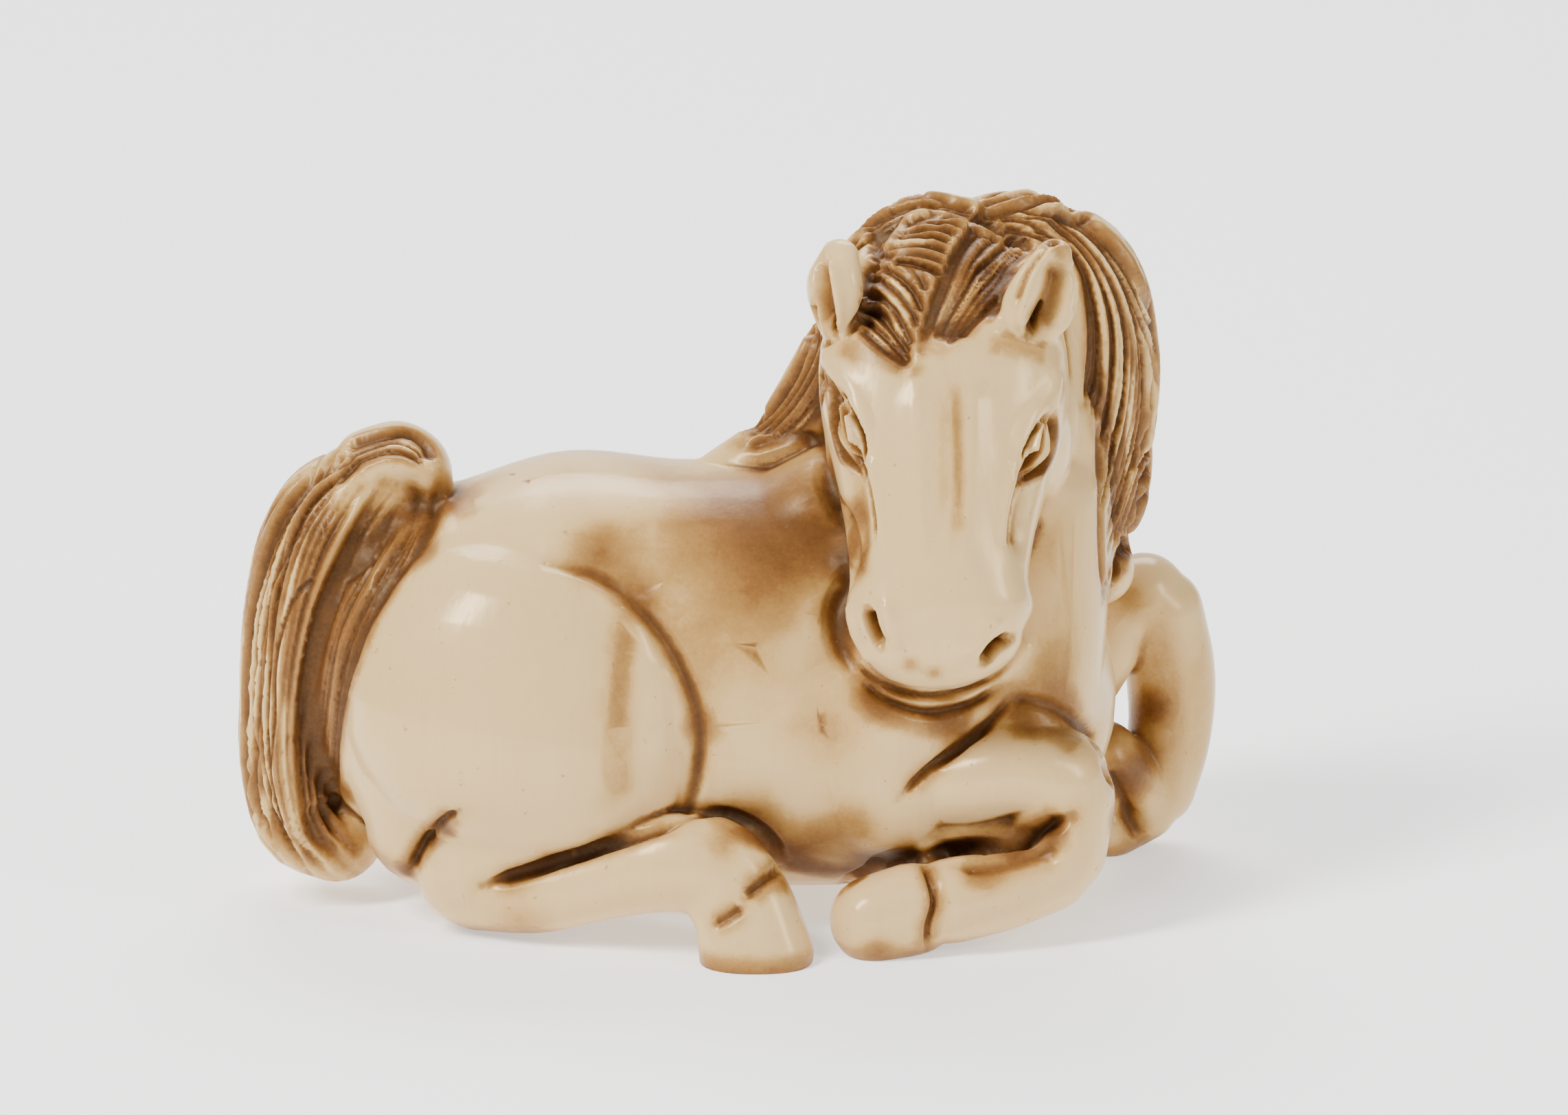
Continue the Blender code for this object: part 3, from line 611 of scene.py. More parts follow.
# %% Creases
CREASES = [
    ("near", 0.7, 0.55, 0.60, [(640, 705), (620, 770), (560, 850), (520, 920), (495, 1000)]),
    ("near", 0.6, 0.15, 0.50, [(500, 980), (482, 1100), (484, 1160), (512, 1230), (560, 1278)]),
    ("near", 0.6, 0.48, 0.34, [(795, 822), (860, 832), (930, 885), (990, 970), (1020, 1060),
                               (1016, 1130), (1000, 1190)]),
    ("near", 1.6, 0.26, 0.12, [(850, 805), (900, 830), (935, 880)]),
    ("near", 1.3, -0.28, 0.0, [(866, 850), (915, 895), (952, 970), (966, 1060), (958, 1130)]),
    ("near", 0.45, 0.62, 0.62, [(1005, 1192), (940, 1214), (860, 1240), (780, 1266), (700, 1291)]),
    ("near", 0.32, 0.60, 0.75, [(668, 1180), (640, 1202), (612, 1236), (594, 1272)]),
    ("near", 0.46, 0.46, 0.62, [(1140, 1262), (1112, 1284), (1084, 1308)]),
    ("near", 0.36, 0.34, 0.55, [(1082, 1322), (1060, 1336), (1038, 1348)]),
    ("near", 0.45, 0.45, 0.62, [(1005, 1190), (1060, 1186), (1110, 1210), (1146, 1256)]),
    ("near", 0.7, 0.60, 0.80, [(1222, 1290), (1262, 1268), (1310, 1254), (1350, 1246)]),
    ("near", 0.62, 1.30, 1.00, [(1345, 1246), (1420, 1236), (1500, 1216), (1562, 1190)]),
    ("near", 0.8, 0.60, 0.40, [(1390, 1260), (1470, 1256), (1552, 1232)]),
    ("near", 0.24, 0.45, 0.60, [(1342, 1250), (1354, 1280), (1361, 1315), (1352, 1350),
                                (1350, 1384)]),
    ("near", 0.36, 0.55, 0.50, [(1308, 1164), (1360, 1116), (1420, 1070), (1458, 1034),
                                (1474, 1010)]),
    ("near", 0.5, 0.42, 0.42, [(1462, 1018), (1510, 1022), (1550, 1038), (1578, 1058),
                               (1600, 1095)]),
    ("near", 0.6, 0.60, 0.60, [(1604, 1110), (1628, 1150), (1650, 1200), (1668, 1228)]),
    ("near", 0.8, 0.60, 0.42, [(1196, 640), (1206, 700), (1236, 770), (1238, 840), (1218, 890),
                               (1226, 950), (1250, 990)]),
    ("near", 0.5, 0.50, 0.45, [(1604, 600), (1604, 700), (1604, 790), (1608, 866)]),
    ("near", 0.5, 0.45, 0.45, [(1195, 645), (1160, 634), (1125, 640), (1085, 650)]),
    ("far", 0.8, 0.60, 0.55, [(-8.5, 19.5), (-5.0, 17.8), (-2.6, 14.6), (-1.4, 11.0),
                              (-1.8, 7.4)]),
    ("far", 0.7, 0.60, 0.70, [(-1.6, 6.6), (-6.0, 5.6), (-11.4, 4.0)]),
    ("far", 0.9, 0.75, 0.80, [(-14.6, 22.0), (-16.8, 19.6), (-18.2, 16.0), (-18.8, 11.0),
                              (-18.6, 7.0), (-17.4, 4.4)]),
    ("far", 0.8, 0.55, 0.60, [(2.4, 24.4), (5.0, 20.6), (9.0, 17.2), (13.5, 15.4), (17.5, 15.2)]),
]
for side, width, depth, tone, points in CREASES:
    stroke(side, width, depth, points)
print("creases:", len(CREASES))

# %% [markdown]
# ## Face
#
# The face is turned straight at us. Its bridge is a flat panel between two long edges that run
# down from the brows. Each eye is an almond that stands in a trench beside the panel, with a lid
# line round it; the nostrils are slanted ovals, and thin lines under the muzzle are the mouth.
# The third number of a stroke is its stain: one below nought wipes the skin clean, and a depth
# below nought raises the skin.

# %% Face
BLUNT = 3.0
ROUND = 2.0
VEE = 1.5
FACE = [
    # half-width, depth, stain, profile, course on the near side
    (0.95, 0.55, 0.16, VEE, [(1214, 545), (1226, 610), (1240, 690), (1250, 760), (1252, 830)]),
    (0.95, 0.55, 0.10, VEE, [(1530, 590), (1516, 650), (1502, 700), (1486, 760), (1484, 820)]),
    # the near eye: trench, the groove on each side of the ball, the lid's groove, two pits
    (0.60, 0.75, 0.58, BLUNT, [(1202, 545), (1212, 585), (1223, 622), (1236, 657), (1253, 692)]),
    (0.14, 1.05, 0.66, VEE, [(1236, 588), (1247, 607), (1255, 627), (1258, 650), (1258, 670)]),
    (0.13, 1.05, 0.70, VEE, [(1230, 594), (1228, 620), (1235, 645), (1247, 657)]),
    (0.20, 1.00, 0.60, VEE, [(1200, 550), (1206, 585), (1211, 620), (1221, 657), (1239, 688),
                             (1257, 700)]),
    (0.26, 1.25, 0.95, ROUND, [(1242, 670), (1251, 680), (1259, 692)]),
    (0.20, 1.15, 0.90, ROUND, [(1223, 573), (1229, 582), (1235, 594)]),
    # the outer eye, the same
    (0.60, 0.75, 0.58, BLUNT, [(1530, 598), (1519, 635), (1511, 667), (1496, 697), (1484, 714)]),
    (0.14, 1.05, 0.62, VEE, [(1517, 613), (1500, 633), (1493, 652), (1490, 668)]),
    (0.13, 1.05, 0.66, VEE, [(1519, 612), (1518, 640), (1510, 665), (1497, 672)]),
    (0.20, 1.00, 0.60, VEE, [(1535, 598), (1535, 640), (1528, 669), (1512, 693), (1492, 707)]),
    (0.20, 1.05, 0.75, ROUND, [(1489, 690), (1486, 700), (1483, 710)]),
    # the edge of the panel down the nose
    (0.18, 0.40, 0.42, VEE, [(1260, 690), (1267, 722), (1272, 752), (1274, 785)]),
    (0.18, 0.40, 0.36, VEE, [(1483, 706), (1477, 735), (1472, 765), (1470, 800)]),
    # nostrils and mouth
    (0.44, 0.95, 0.72, ROUND, [(1262, 886), (1269, 914), (1282, 942)]),
    (0.44, 0.95, 0.72, ROUND, [(1474, 928), (1450, 944), (1432, 968)]),
    (0.22, 0.45, 0.32, VEE, [(1236, 948), (1262, 982), (1300, 1002), (1345, 1012), (1400, 1005),
                             (1445, 986), (1478, 955)]),
    (0.36, 0.60, 0.60, VEE, [(1246, 985), (1290, 1018), (1350, 1038), (1410, 1028), (1456, 998)]),
    # ears: cups, a fold, and the cuts that set them off
    (0.60, 0.85, 0.40, ROUND, [(1196, 372), (1196, 425), (1208, 480)]),
    (0.20, 1.05, 0.80, ROUND, [(1208, 462), (1212, 476), (1216, 490)]),
    (1.05, 0.90, 0.50, ROUND, [(1548, 376), (1540, 425), (1512, 484)]),
    (0.42, 1.35, 0.85, ROUND, [(1528, 440), (1514, 466), (1498, 490)]),
    (0.30, 0.35, 0.28, VEE, [(1522, 362), (1496, 398), (1478, 446)]),
    (0.30, 0.45, 0.55, VEE, [(1482, 352), (1464, 400), (1450, 440), (1442, 468)]),
    (0.50, 0.18, 0.14, VEE, [(1446, 484), (1480, 492), (1510, 500), (1534, 504)]),
    (0.30, 0.30, 0.45, VEE, [(1264, 382), (1260, 430), (1248, 466), (1234, 490)]),
    (0.20, 0.35, 0.45, ROUND, [(1192, 497), (1201, 502), (1212, 500)]),
    (0.45, 0.60, 0.75, VEE, [(1442, 288), (1420, 330), (1385, 385), (1358, 450), (1340, 510)]),
    # what stands proud: brows, the crest of the nose and the panel's edges
    (0.75, -0.30, 0.0, ROUND, [(1196, 500), (1216, 545), (1244, 590), (1262, 640)]),
    (0.75, -0.30, 0.0, ROUND, [(1540, 530), (1528, 585), (1502, 614), (1480, 660)]),
    (2.20, -0.26, 0.0, ROUND, [(1384, 540), (1386, 640), (1380, 760), (1374, 860)]),
    (0.90, -0.31, 0.0, VEE, [(1334, 540), (1340, 640), (1344, 760), (1350, 850)]),
    (0.90, -0.31, 0.0, VEE, [(1414, 540), (1414, 640), (1406, 760), (1398, 850)]),
    (0.34, -0.14, 0.0, ROUND, [(1266, 660), (1275, 720), (1284, 790)]),
    (0.34, -0.14, 0.0, ROUND, [(1478, 680), (1466, 740), (1460, 800)]),
    # eyeballs and lids
    (0.27, -0.85, -1.0, ROUND, [(1238, 600), (1243, 626), (1248, 650)]),
    (0.33, -0.82, -1.0, ROUND, [(1518, 612), (1508, 640), (1502, 662)]),
    (0.16, -0.70, -0.8, ROUND, [(1221, 580), (1221, 610), (1226, 637), (1236, 657), (1252, 668)]),
    (0.16, -0.70, -0.8, ROUND, [(1524, 604), (1523, 640), (1517, 664), (1504, 682), (1496, 692)]),
    # the skin under the far cheek is wiped clean
    (1.10, -0.02, -0.8, ROUND, [(1576, 630), (1564, 690), (1514, 745), (1496, 800)]),
    # rims of nostrils, lip and ears
    (0.50, -0.30, 0.0, ROUND, [(1238, 872), (1246, 920), (1272, 968)]),
    (0.45, -0.24, 0.0, ROUND, [(1286, 872), (1298, 912), (1310, 950)]),
    (0.50, -0.30, 0.0, ROUND, [(1500, 930), (1476, 962), (1436, 996)]),
    (0.45, -0.24, 0.0, ROUND, [(1460, 900), (1432, 926), (1406, 956)]),
    (0.18, -0.26, -0.5, ROUND, [(1262, 998), (1306, 1018), (1350, 1024), (1400, 1017),
                                (1450, 990)]),
    (0.24, -0.35, -0.6, ROUND, [(1202, 368), (1216, 410), (1222, 450), (1220, 486)]),
    (0.26, -0.35, -0.6, ROUND, [(1482, 486), (1494, 432), (1512, 388), (1542, 356)]),
    (0.18, -0.20, -0.6, ROUND, [(1558, 372), (1567, 410), (1560, 455), (1540, 492)]),
]
for width, depth, tone, profile, points in FACE:
    stroke("near", width, depth, points, profile)
print("face strokes:", len(FACE))

# %% [markdown]
# ## Hair
#
# Mane, forelock and tail are fans: a few guide lines give the flow, and the locks between them are
# blended from neighbouring guides. Deep cuts part the locks, and one or two finer cuts split each.
# The fine ones start and stop at different places, as hand-cut hair does, so the fan doesn't look
# combed by a machine. The random numbers have a fixed seed, which gives the same horse each time.

# %% Hair
LOCK_WIDTH = 0.36
LOCK_DEPTH = 0.70
SPLIT_WIDTH = 0.19
SPLIT_DEPTH = 0.42
HAIR_FADING = 4.0
HAIR = [
    # side, locks, share of worn locks, guides
    ("near", 15, 0.95, [
        [(1500, 340), (1540, 338), (1575, 385), (1590, 450), (1592, 520), (1582, 590)],
        [(1470, 316), (1530, 318), (1582, 372), (1610, 450), (1616, 540), (1603, 640)],
        [(1450, 298), (1530, 304), (1600, 366), (1640, 450), (1645, 560), (1624, 660),
         (1604, 740)],
        [(1470, 290), (1560, 310), (1630, 380), (1664, 470), (1668, 580), (1642, 700),
         (1606, 810)],
        [(1520, 287), (1600, 335), (1656, 415), (1685, 505), (1684, 610), (1656, 730),
         (1606, 868)],
        [(1570, 300), (1638, 364), (1680, 445), (1697, 530), (1694, 630), (1668, 740),
         (1616, 862)],
    ]),
    ("near", 10, 0.70, [
        [(1445, 302), (1410, 345), (1385, 390), (1365, 440), (1346, 492)],
        [(1475, 312), (1432, 350), (1402, 400), (1378, 450), (1354, 500)],
        [(1500, 330), (1452, 370), (1418, 412), (1388, 458), (1360, 505)],
        [(1512, 338), (1478, 372), (1450, 410), (1422, 442), (1396, 476), (1372, 506)],
        [(1462, 420), (1440, 445), (1416, 466), (1396, 490)],
    ]),
    ("above", 7, 0.30, [
        [(11.2, -0.8), (9.2, -0.5), (7.2, 0.0), (5.6, 1.0)],
        [(11.3, 0.8), (9.4, 1.2), (7.2, 2.0), (5.6, 3.4)],
        [(11.4, 2.4), (9.8, 3.2), (8.0, 4.8), (6.8, 6.6)],
        [(11.7, 3.6), (10.8, 5.2), (9.6, 7.2)],
    ]),
    ("above", 7, 0.30, [
        [(12.2, -0.8), (14.2, -0.4), (16.2, 0.6), (18.2, 2.6)],
        [(12.2, 0.8), (14.2, 1.5), (16.0, 3.0), (17.8, 5.2)],
        [(12.1, 2.4), (13.6, 3.6), (15.0, 5.4), (16.2, 7.4)],
        [(12.0, 3.6), (12.6, 5.4), (13.2, 7.4)],
    ]),
    ("near", 5, 0.30, [
        [(1448, 300), (1490, 300), (1540, 318), (1584, 352)],
        [(1450, 312), (1490, 316), (1530, 331), (1566, 356)],
        [(1456, 326), (1486, 331), (1516, 342), (1542, 356)],
    ]),
    ("near", 10, 0.40, [
        [(1430, 300), (1376, 288), (1330, 294), (1282, 314), (1238, 348)],
        [(1436, 312), (1396, 300), (1344, 306), (1290, 330), (1246, 356)],
        [(1424, 324), (1384, 309), (1340, 310), (1290, 333), (1250, 360)],
        [(1412, 336), (1370, 319), (1325, 319), (1285, 339), (1256, 362)],
        [(1396, 352), (1355, 337), (1310, 338), (1275, 351), (1258, 370)],
        [(1388, 372), (1350, 360), (1312, 358), (1282, 364), (1262, 380)],
        [(1376, 400), (1346, 384), (1316, 376), (1290, 376)],
    ]),
    ("near", 2, 0.0, [
        [(1298, 348), (1280, 353), (1265, 362)],
        [(1298, 366), (1284, 369), (1270, 376)],
    ]),
    ("near", 7, 0.62, [
        [(1262, 372), (1300, 372), (1336, 392), (1354, 430)],
        [(1262, 392), (1296, 402), (1326, 432), (1342, 470)],
        [(1256, 420), (1284, 436), (1312, 468), (1330, 505)],
        [(1252, 448), (1276, 466), (1300, 492), (1326, 524)],
        [(1250, 474), (1272, 494), (1298, 514), (1330, 534)],
    ]),
    ("near", 6, 0.60, [
        [(1186, 440), (1168, 510), (1130, 580), (1066, 640)],
        [(1194, 480), (1180, 545), (1148, 596), (1098, 642)],
        [(1199, 540), (1192, 590), (1168, 626), (1130, 644)],
    ]),
    ("far", 13, 0.55, [
        [(6.0, 32.6), (4.4, 28.4), (3.2, 25.4), (0.5, 23.0)],
        [(9.0, 34.4), (8.0, 29.0), (6.4, 24.0), (4.2, 20.8)],
        [(12.0, 34.9), (12.0, 29.0), (11.0, 23.0), (9.6, 18.0)],
        [(15.0, 34.2), (16.0, 29.0), (15.8, 23.0), (14.6, 16.6)],
        [(17.4, 32.6), (19.6, 28.0), (19.8, 22.0), (18.2, 15.8)],
    ]),
    ("chest end", 5, 0.55, [
        [(-1.0, 31.0), (-1.6, 26.0), (-1.2, 21.0), (0.0, 17.0)],
        [(2.0, 33.0), (2.4, 27.0), (2.6, 21.0), (2.8, 16.0)],
        [(5.0, 31.6), (6.2, 26.0), (6.4, 21.0), (5.4, 17.0)],
    ]),
    ("near", 9, 0.90, [
        [(476, 655), (404, 745), (364, 860), (351, 1000), (355, 1140), (376, 1222), (416, 1262)],
        [(540, 640), (445, 702), (392, 810), (371, 950), (367, 1080), (386, 1190), (450, 1276)],
        [(500, 690), (440, 780), (408, 890), (394, 1040), (402, 1170), (440, 1250), (490, 1286)],
        [(526, 710), (482, 780), (444, 880), (422, 1000), (420, 1130), (448, 1240), (510, 1290)],
    ]),
    ("near", 12, 0.10, [
        [(560, 700), (505, 795), (459, 898), (436, 1018), (436, 1140), (460, 1244), (524, 1290)],
        [(592, 712), (528, 810), (478, 915), (456, 1035), (456, 1150), (482, 1250), (540, 1288)],
        [(614, 718), (556, 814), (500, 918), (474, 1038), (468, 1150), (490, 1246), (546, 1286)],
        [(636, 724), (584, 820), (526, 920), (490, 1040), (476, 1120)],
    ]),
    ("near", 6, 0.60, [
        [(484, 706), (520, 674), (562, 658), (600, 664), (616, 682)],
        [(490, 672), (536, 646), (580, 638), (612, 652), (626, 684)],
        [(496, 648), (548, 630), (596, 626), (626, 646), (636, 684)],
    ]),
    ("far", 9, 0.55, [
        [(-19.4, 23.0), (-22.4, 19.6), (-23.7, 14.0), (-23.7, 8.0), (-22.2, 3.6)],
        [(-16.0, 23.6), (-20.2, 20.0), (-21.6, 14.0), (-21.8, 8.0), (-20.8, 3.4)],
        [(-15.6, 22.6), (-18.4, 18.6), (-19.9, 13.6), (-20.0, 8.0), (-19.4, 4.0)],
    ]),
    ("tail end", 8, 0.50, [
        [(3.4, 33.8), (3.8, 31.8), (4.0, 29.8), (4.0, 28.0)],
        [(1.4, 34.4), (1.6, 32.2), (1.9, 30.2), (2.2, 28.4)],
        [(-0.6, 34.0), (-0.6, 32.2), (-0.3, 30.6), (0.0, 29.2)],
        [(-2.2, 33.2), (-2.4, 31.8), (-2.4, 30.4)],
    ]),
    ("tail end", 5, 0.50, [
        [(4.8, 28.6), (4.4, 26.2), (3.6, 24.2), (2.6, 22.6)],
        [(3.2, 29.4), (3.0, 26.6), (2.6, 24.4), (2.0, 22.6)],
        [(1.7, 30.0), (1.6, 27.0), (1.5, 24.6), (1.4, 22.6)],
    ]),
    ("tail end", 8, 0.55, [
        [(4.2, 20.0), (4.4, 14.0), (4.2, 7.0), (3.2, 3.4)],
        [(1.5, 22.6), (1.5, 14.0), (1.4, 7.0), (1.2, 2.6)],
        [(-1.5, 22.6), (-1.6, 14.0), (-1.6, 7.0), (-1.4, 2.6)],
        [(-4.2, 20.0), (-4.4, 14.0), (-4.4, 7.0), (-3.6, 3.4)],
    ]),
]
random.seed(11)
hair_fans = []
worn_locks = []
for side, locks, worn_share, guides in HAIR:
    fan = np.array([resampled(guide, GUIDE_POINTS) for guide in guides])

    def between(place, first=0.0, last=1.0):
        """The line at a place between the guides, from one share of its length to another."""
        low = min(int(place), len(guides) - 2)
        line = fan[low] + (fan[low + 1] - fan[low]) * (place - low)
        want = np.linspace(first, last, GUIDE_POINTS) * (GUIDE_POINTS - 1)
        return [[np.interp(w, range(GUIDE_POINTS), line[:, k]) for k in (0, 1)] for w in want]

    step = (len(guides) - 1) / (locks - 1)
    for number in range(locks):
        place = number * step + random.uniform(-0.12, 0.12) * step
        place = min(max(place, 0.0), len(guides) - 1.0)
        deep = LOCK_DEPTH * random.uniform(0.65, 1.25)
        line = between(place, 0.0, random.uniform(0.92, 1.0))
        stroke(side, LOCK_WIDTH, deep, line, fading=HAIR_FADING)
        if number < locks - 1:
            if random.random() < worn_share:
                first = random.uniform(0.0, 0.55)
                line = between(place + random.uniform(0.4, 0.6) * step, first, first + 0.45)
                worn_locks.append((side, line, random.uniform(0.55, 1.0)))
            for share in random.sample((0.3, 0.5, 0.7), random.choice((1, 2))):
                first = random.uniform(0.0, 0.4)
                last = random.uniform(0.6, 1.0)
                line = between(min(place + share * step, len(guides) - 1.0), first, last)
                stroke(side, SPLIT_WIDTH, SPLIT_DEPTH * random.uniform(0.6, 1.3), line)
    hair_fans.append((side, fan))
print("hair fans:", len(HAIR))

# %% [markdown]
# ## The carved skin
#
# All strokes were measured on the uncut skin, so that they don't push each other about. Their
# depths are evened out a little between neighbours, which takes off the burrs where strokes meet.
# Then every point moves along the direction that the skin faces there.

# %% Cut the skin
DEBURR_ROUNDS = 2
pairs = np.empty(len(horse.data.edges) * 2, int)
horse.data.edges.foreach_get("vertices", pairs)
pairs = pairs.reshape(-1, 2)
neighbours = np.bincount(pairs.ravel(), minlength=len(skin))[:, None]


def relaxed(values, rounds):
    """The values after each point has taken the mean of its neighbours a number of times."""
    ends, starts = pairs.ravel(), pairs[:, ::-1].ravel()
    for _ in range(rounds):
        columns = [np.bincount(ends, weights=values[starts, k], minlength=len(values))
                   for k in range(values.shape[1])]
        values = np.stack(columns, axis=1) / neighbours
    return values


cuts = (sunk - raised)[:, None]
cuts = 0.5 * (cuts + relaxed(cuts, DEBURR_ROUNDS))
carved = skin - outward * cuts
horse.data.vertices.foreach_set("co", carved.ravel())
horse.data.update()
print("deepest cut:", round(float(sunk.max()) / MM, 2), "MM")

# %% [markdown]
# ## Where the stain sits
#
# The stain was brushed over the whole carving and wiped off again, so it stays in the hollows.
# The hollows are found by comparing the carved skin with a relaxed copy of it: where the copy lies
# outside, the skin is hollow. A narrow relaxation finds the cuts between strands of hair, and a
# wide one finds the soft valleys between legs and belly.

# %% Measure the hollows
facing = read_points(horse, "normal")
STRAND_ROUNDS = 8
LOCK_ROUNDS = 36
VALLEY_ROUNDS = 200
narrow = relaxed(carved, STRAND_ROUNDS)
middle = relaxed(narrow, LOCK_ROUNDS)
wide = relaxed(middle, VALLEY_ROUNDS)
fine_hollow = ((narrow - carved) * facing).sum(axis=1) / MM
lock_hollow = ((middle - carved) * facing).sum(axis=1) / MM
valley = ((wide - carved) * facing).sum(axis=1) / MM
for name, values in (("fine", fine_hollow), ("lock", lock_hollow), ("valley", valley)):
    print(name, "hollows:", np.percentile(values, [5, 50, 95]).round(3))

# %% [markdown]
# Other stain is placed as the carver did: brown ground under all of the hair, a dark line
# in each crease, and soft clouds where the photograph shows the ivory toned. Some clouds and
# streaks are not stain but painted shade: under the belly, on the flank, down the far foreleg and
# on the left facet of the nose. What stands proud, such as eyeballs, lids and the tops of worn
# locks, is wiped clean again.

# %% Brush the stain and the painted shade on
def over(values, low, high):
    """0 below low, 1 above high and a smooth step between."""
    share = np.clip((values - low) / (high - low), 0, 1)
    return share * share * (3 - 2 * share)


def brush(target, side, points, width, strength):
    """Tones the skin within a width of a drawn line, strongest on the line."""
    ids, gap, place = near_line(skin_tree, laid_on(side, points), width * MM)
    if len(ids):
        fade = np.clip(np.sin(place * math.pi) * CUT_FADE, 0.35, 1.0)
        tone = strength * fade * over(1 - gap / (width * MM), 0, 0.8)
        target[ids] = np.maximum(target[ids], tone)


HAIR_BRUSH = 0.9
WORN_WIDTH = 0.42
crease_stain_and_shade = np.zeros(len(skin))
hair_ground = np.zeros(len(skin))
wiped = np.zeros(len(skin))
worn = np.zeros(len(skin))
for side, width, depth, tone, points in CREASES:
    brush(crease_stain_and_shade, side, points, width * 0.8 + 0.15, tone)
    brush(crease_stain_and_shade, side, points, width * 1.3 + 0.7, tone * 0.45)
for width, depth, tone, profile, points in FACE:
    if tone < 0:
        brush(wiped, "near", points, width * 0.9, -tone)
    elif tone > 0:
        brush(crease_stain_and_shade, "near", points, width * 1.05 + 0.04, tone)
for side, fan in hair_fans:
    for low, high in zip(fan, fan[1:]):
        for share in (0.0, 0.33, 0.67, 1.0):
            brush(hair_ground, side, (low + (high - low) * share).tolist(), HAIR_BRUSH, 1.0)
for side, line, strength in worn_locks:
    brush(worn, side, line, WORN_WIDTH, strength)

STAIN_AND_SHADE_STREAKS = [
    # half-width, stain (painted shade where a comment says so), course on the near side
    (0.62, 0.20, [(1388, 540), (1393, 620), (1395, 700), (1392, 800)]),
    (0.34, 0.28, [(1388, 560), (1393, 640), (1395, 700), (1392, 760)]),
    (0.80, 0.50, [(1205, 650), (1222, 720), (1236, 790), (1234, 850)]),
    (0.70, 0.30, [(1222, 890), (1226, 940), (1246, 985)]),
    (1.30, 0.34, [(1246, 985), (1290, 1030), (1360, 1052), (1430, 1036)]),
    (0.46, 0.66, [(1202, 556), (1207, 590), (1212, 628), (1223, 664), (1250, 696)]),
    (0.24, 0.60, [(1229, 590), (1231, 620), (1238, 650), (1252, 662)]),
    (0.24, 0.56, [(1521, 612), (1520, 642), (1512, 666), (1496, 676)]),
    # these two: painted shade under the belly, over the stain in the valley below it
    (1.30, 0.62, [(1050, 1196), (1110, 1226), (1170, 1262), (1250, 1270), (1320, 1252)]),
    (0.80, 0.70, [(1228, 1296), (1262, 1272), (1306, 1256), (1344, 1254)]),
    (1.60, 0.30, [(1460, 1052), (1520, 1060), (1580, 1092)]),
    (0.90, 0.26, [(1216, 502), (1250, 514), (1290, 526), (1322, 540)]),
    (0.90, 0.22, [(1430, 502), (1480, 508), (1530, 522)]),
    (0.46, 0.64, [(1536, 602), (1539, 640), (1531, 670), (1512, 694), (1490, 710)]),
    # painted shade on the left facet of the nose
    (0.60, 0.14, [(1372, 560), (1372, 660), (1370, 760)]),
    (1.30, 0.22, [(908, 880), (902, 1000), (898, 1100), (905, 1190)]),
    (0.80, 0.34, [(912, 905), (902, 1000), (898, 1080)]),
    # these three: painted shade down the far foreleg, which stands in shadow
    (1.50, 0.13, [(1668, 850), (1686, 930), (1700, 1020), (1702, 1120), (1690, 1200)]),
    (0.80, 0.12, [(1652, 900), (1668, 980), (1682, 1060), (1676, 1140)]),
    (1.40, 0.08, [(1700, 830), (1740, 860), (1752, 960), (1748, 1080), (1730, 1180)]),
    (0.14, 0.60, [(742, 690), (758, 694), (776, 704)]),
    (0.14, 0.50, [(1088, 925), (1096, 945), (1106, 962)]),
    (0.14, 0.50, [(1188, 1038), (1196, 1054), (1200, 1072)]),
    (0.50, 0.26, [(1240, 716), (1248, 780), (1250, 846)]),
    (0.50, 0.22, [(700, 1360), (790, 1364), (880, 1350), (1010, 1350)]),
]
for width, tone, points in STAIN_AND_SHADE_STREAKS:
    brush(crease_stain_and_shade, "near", points, width, tone)

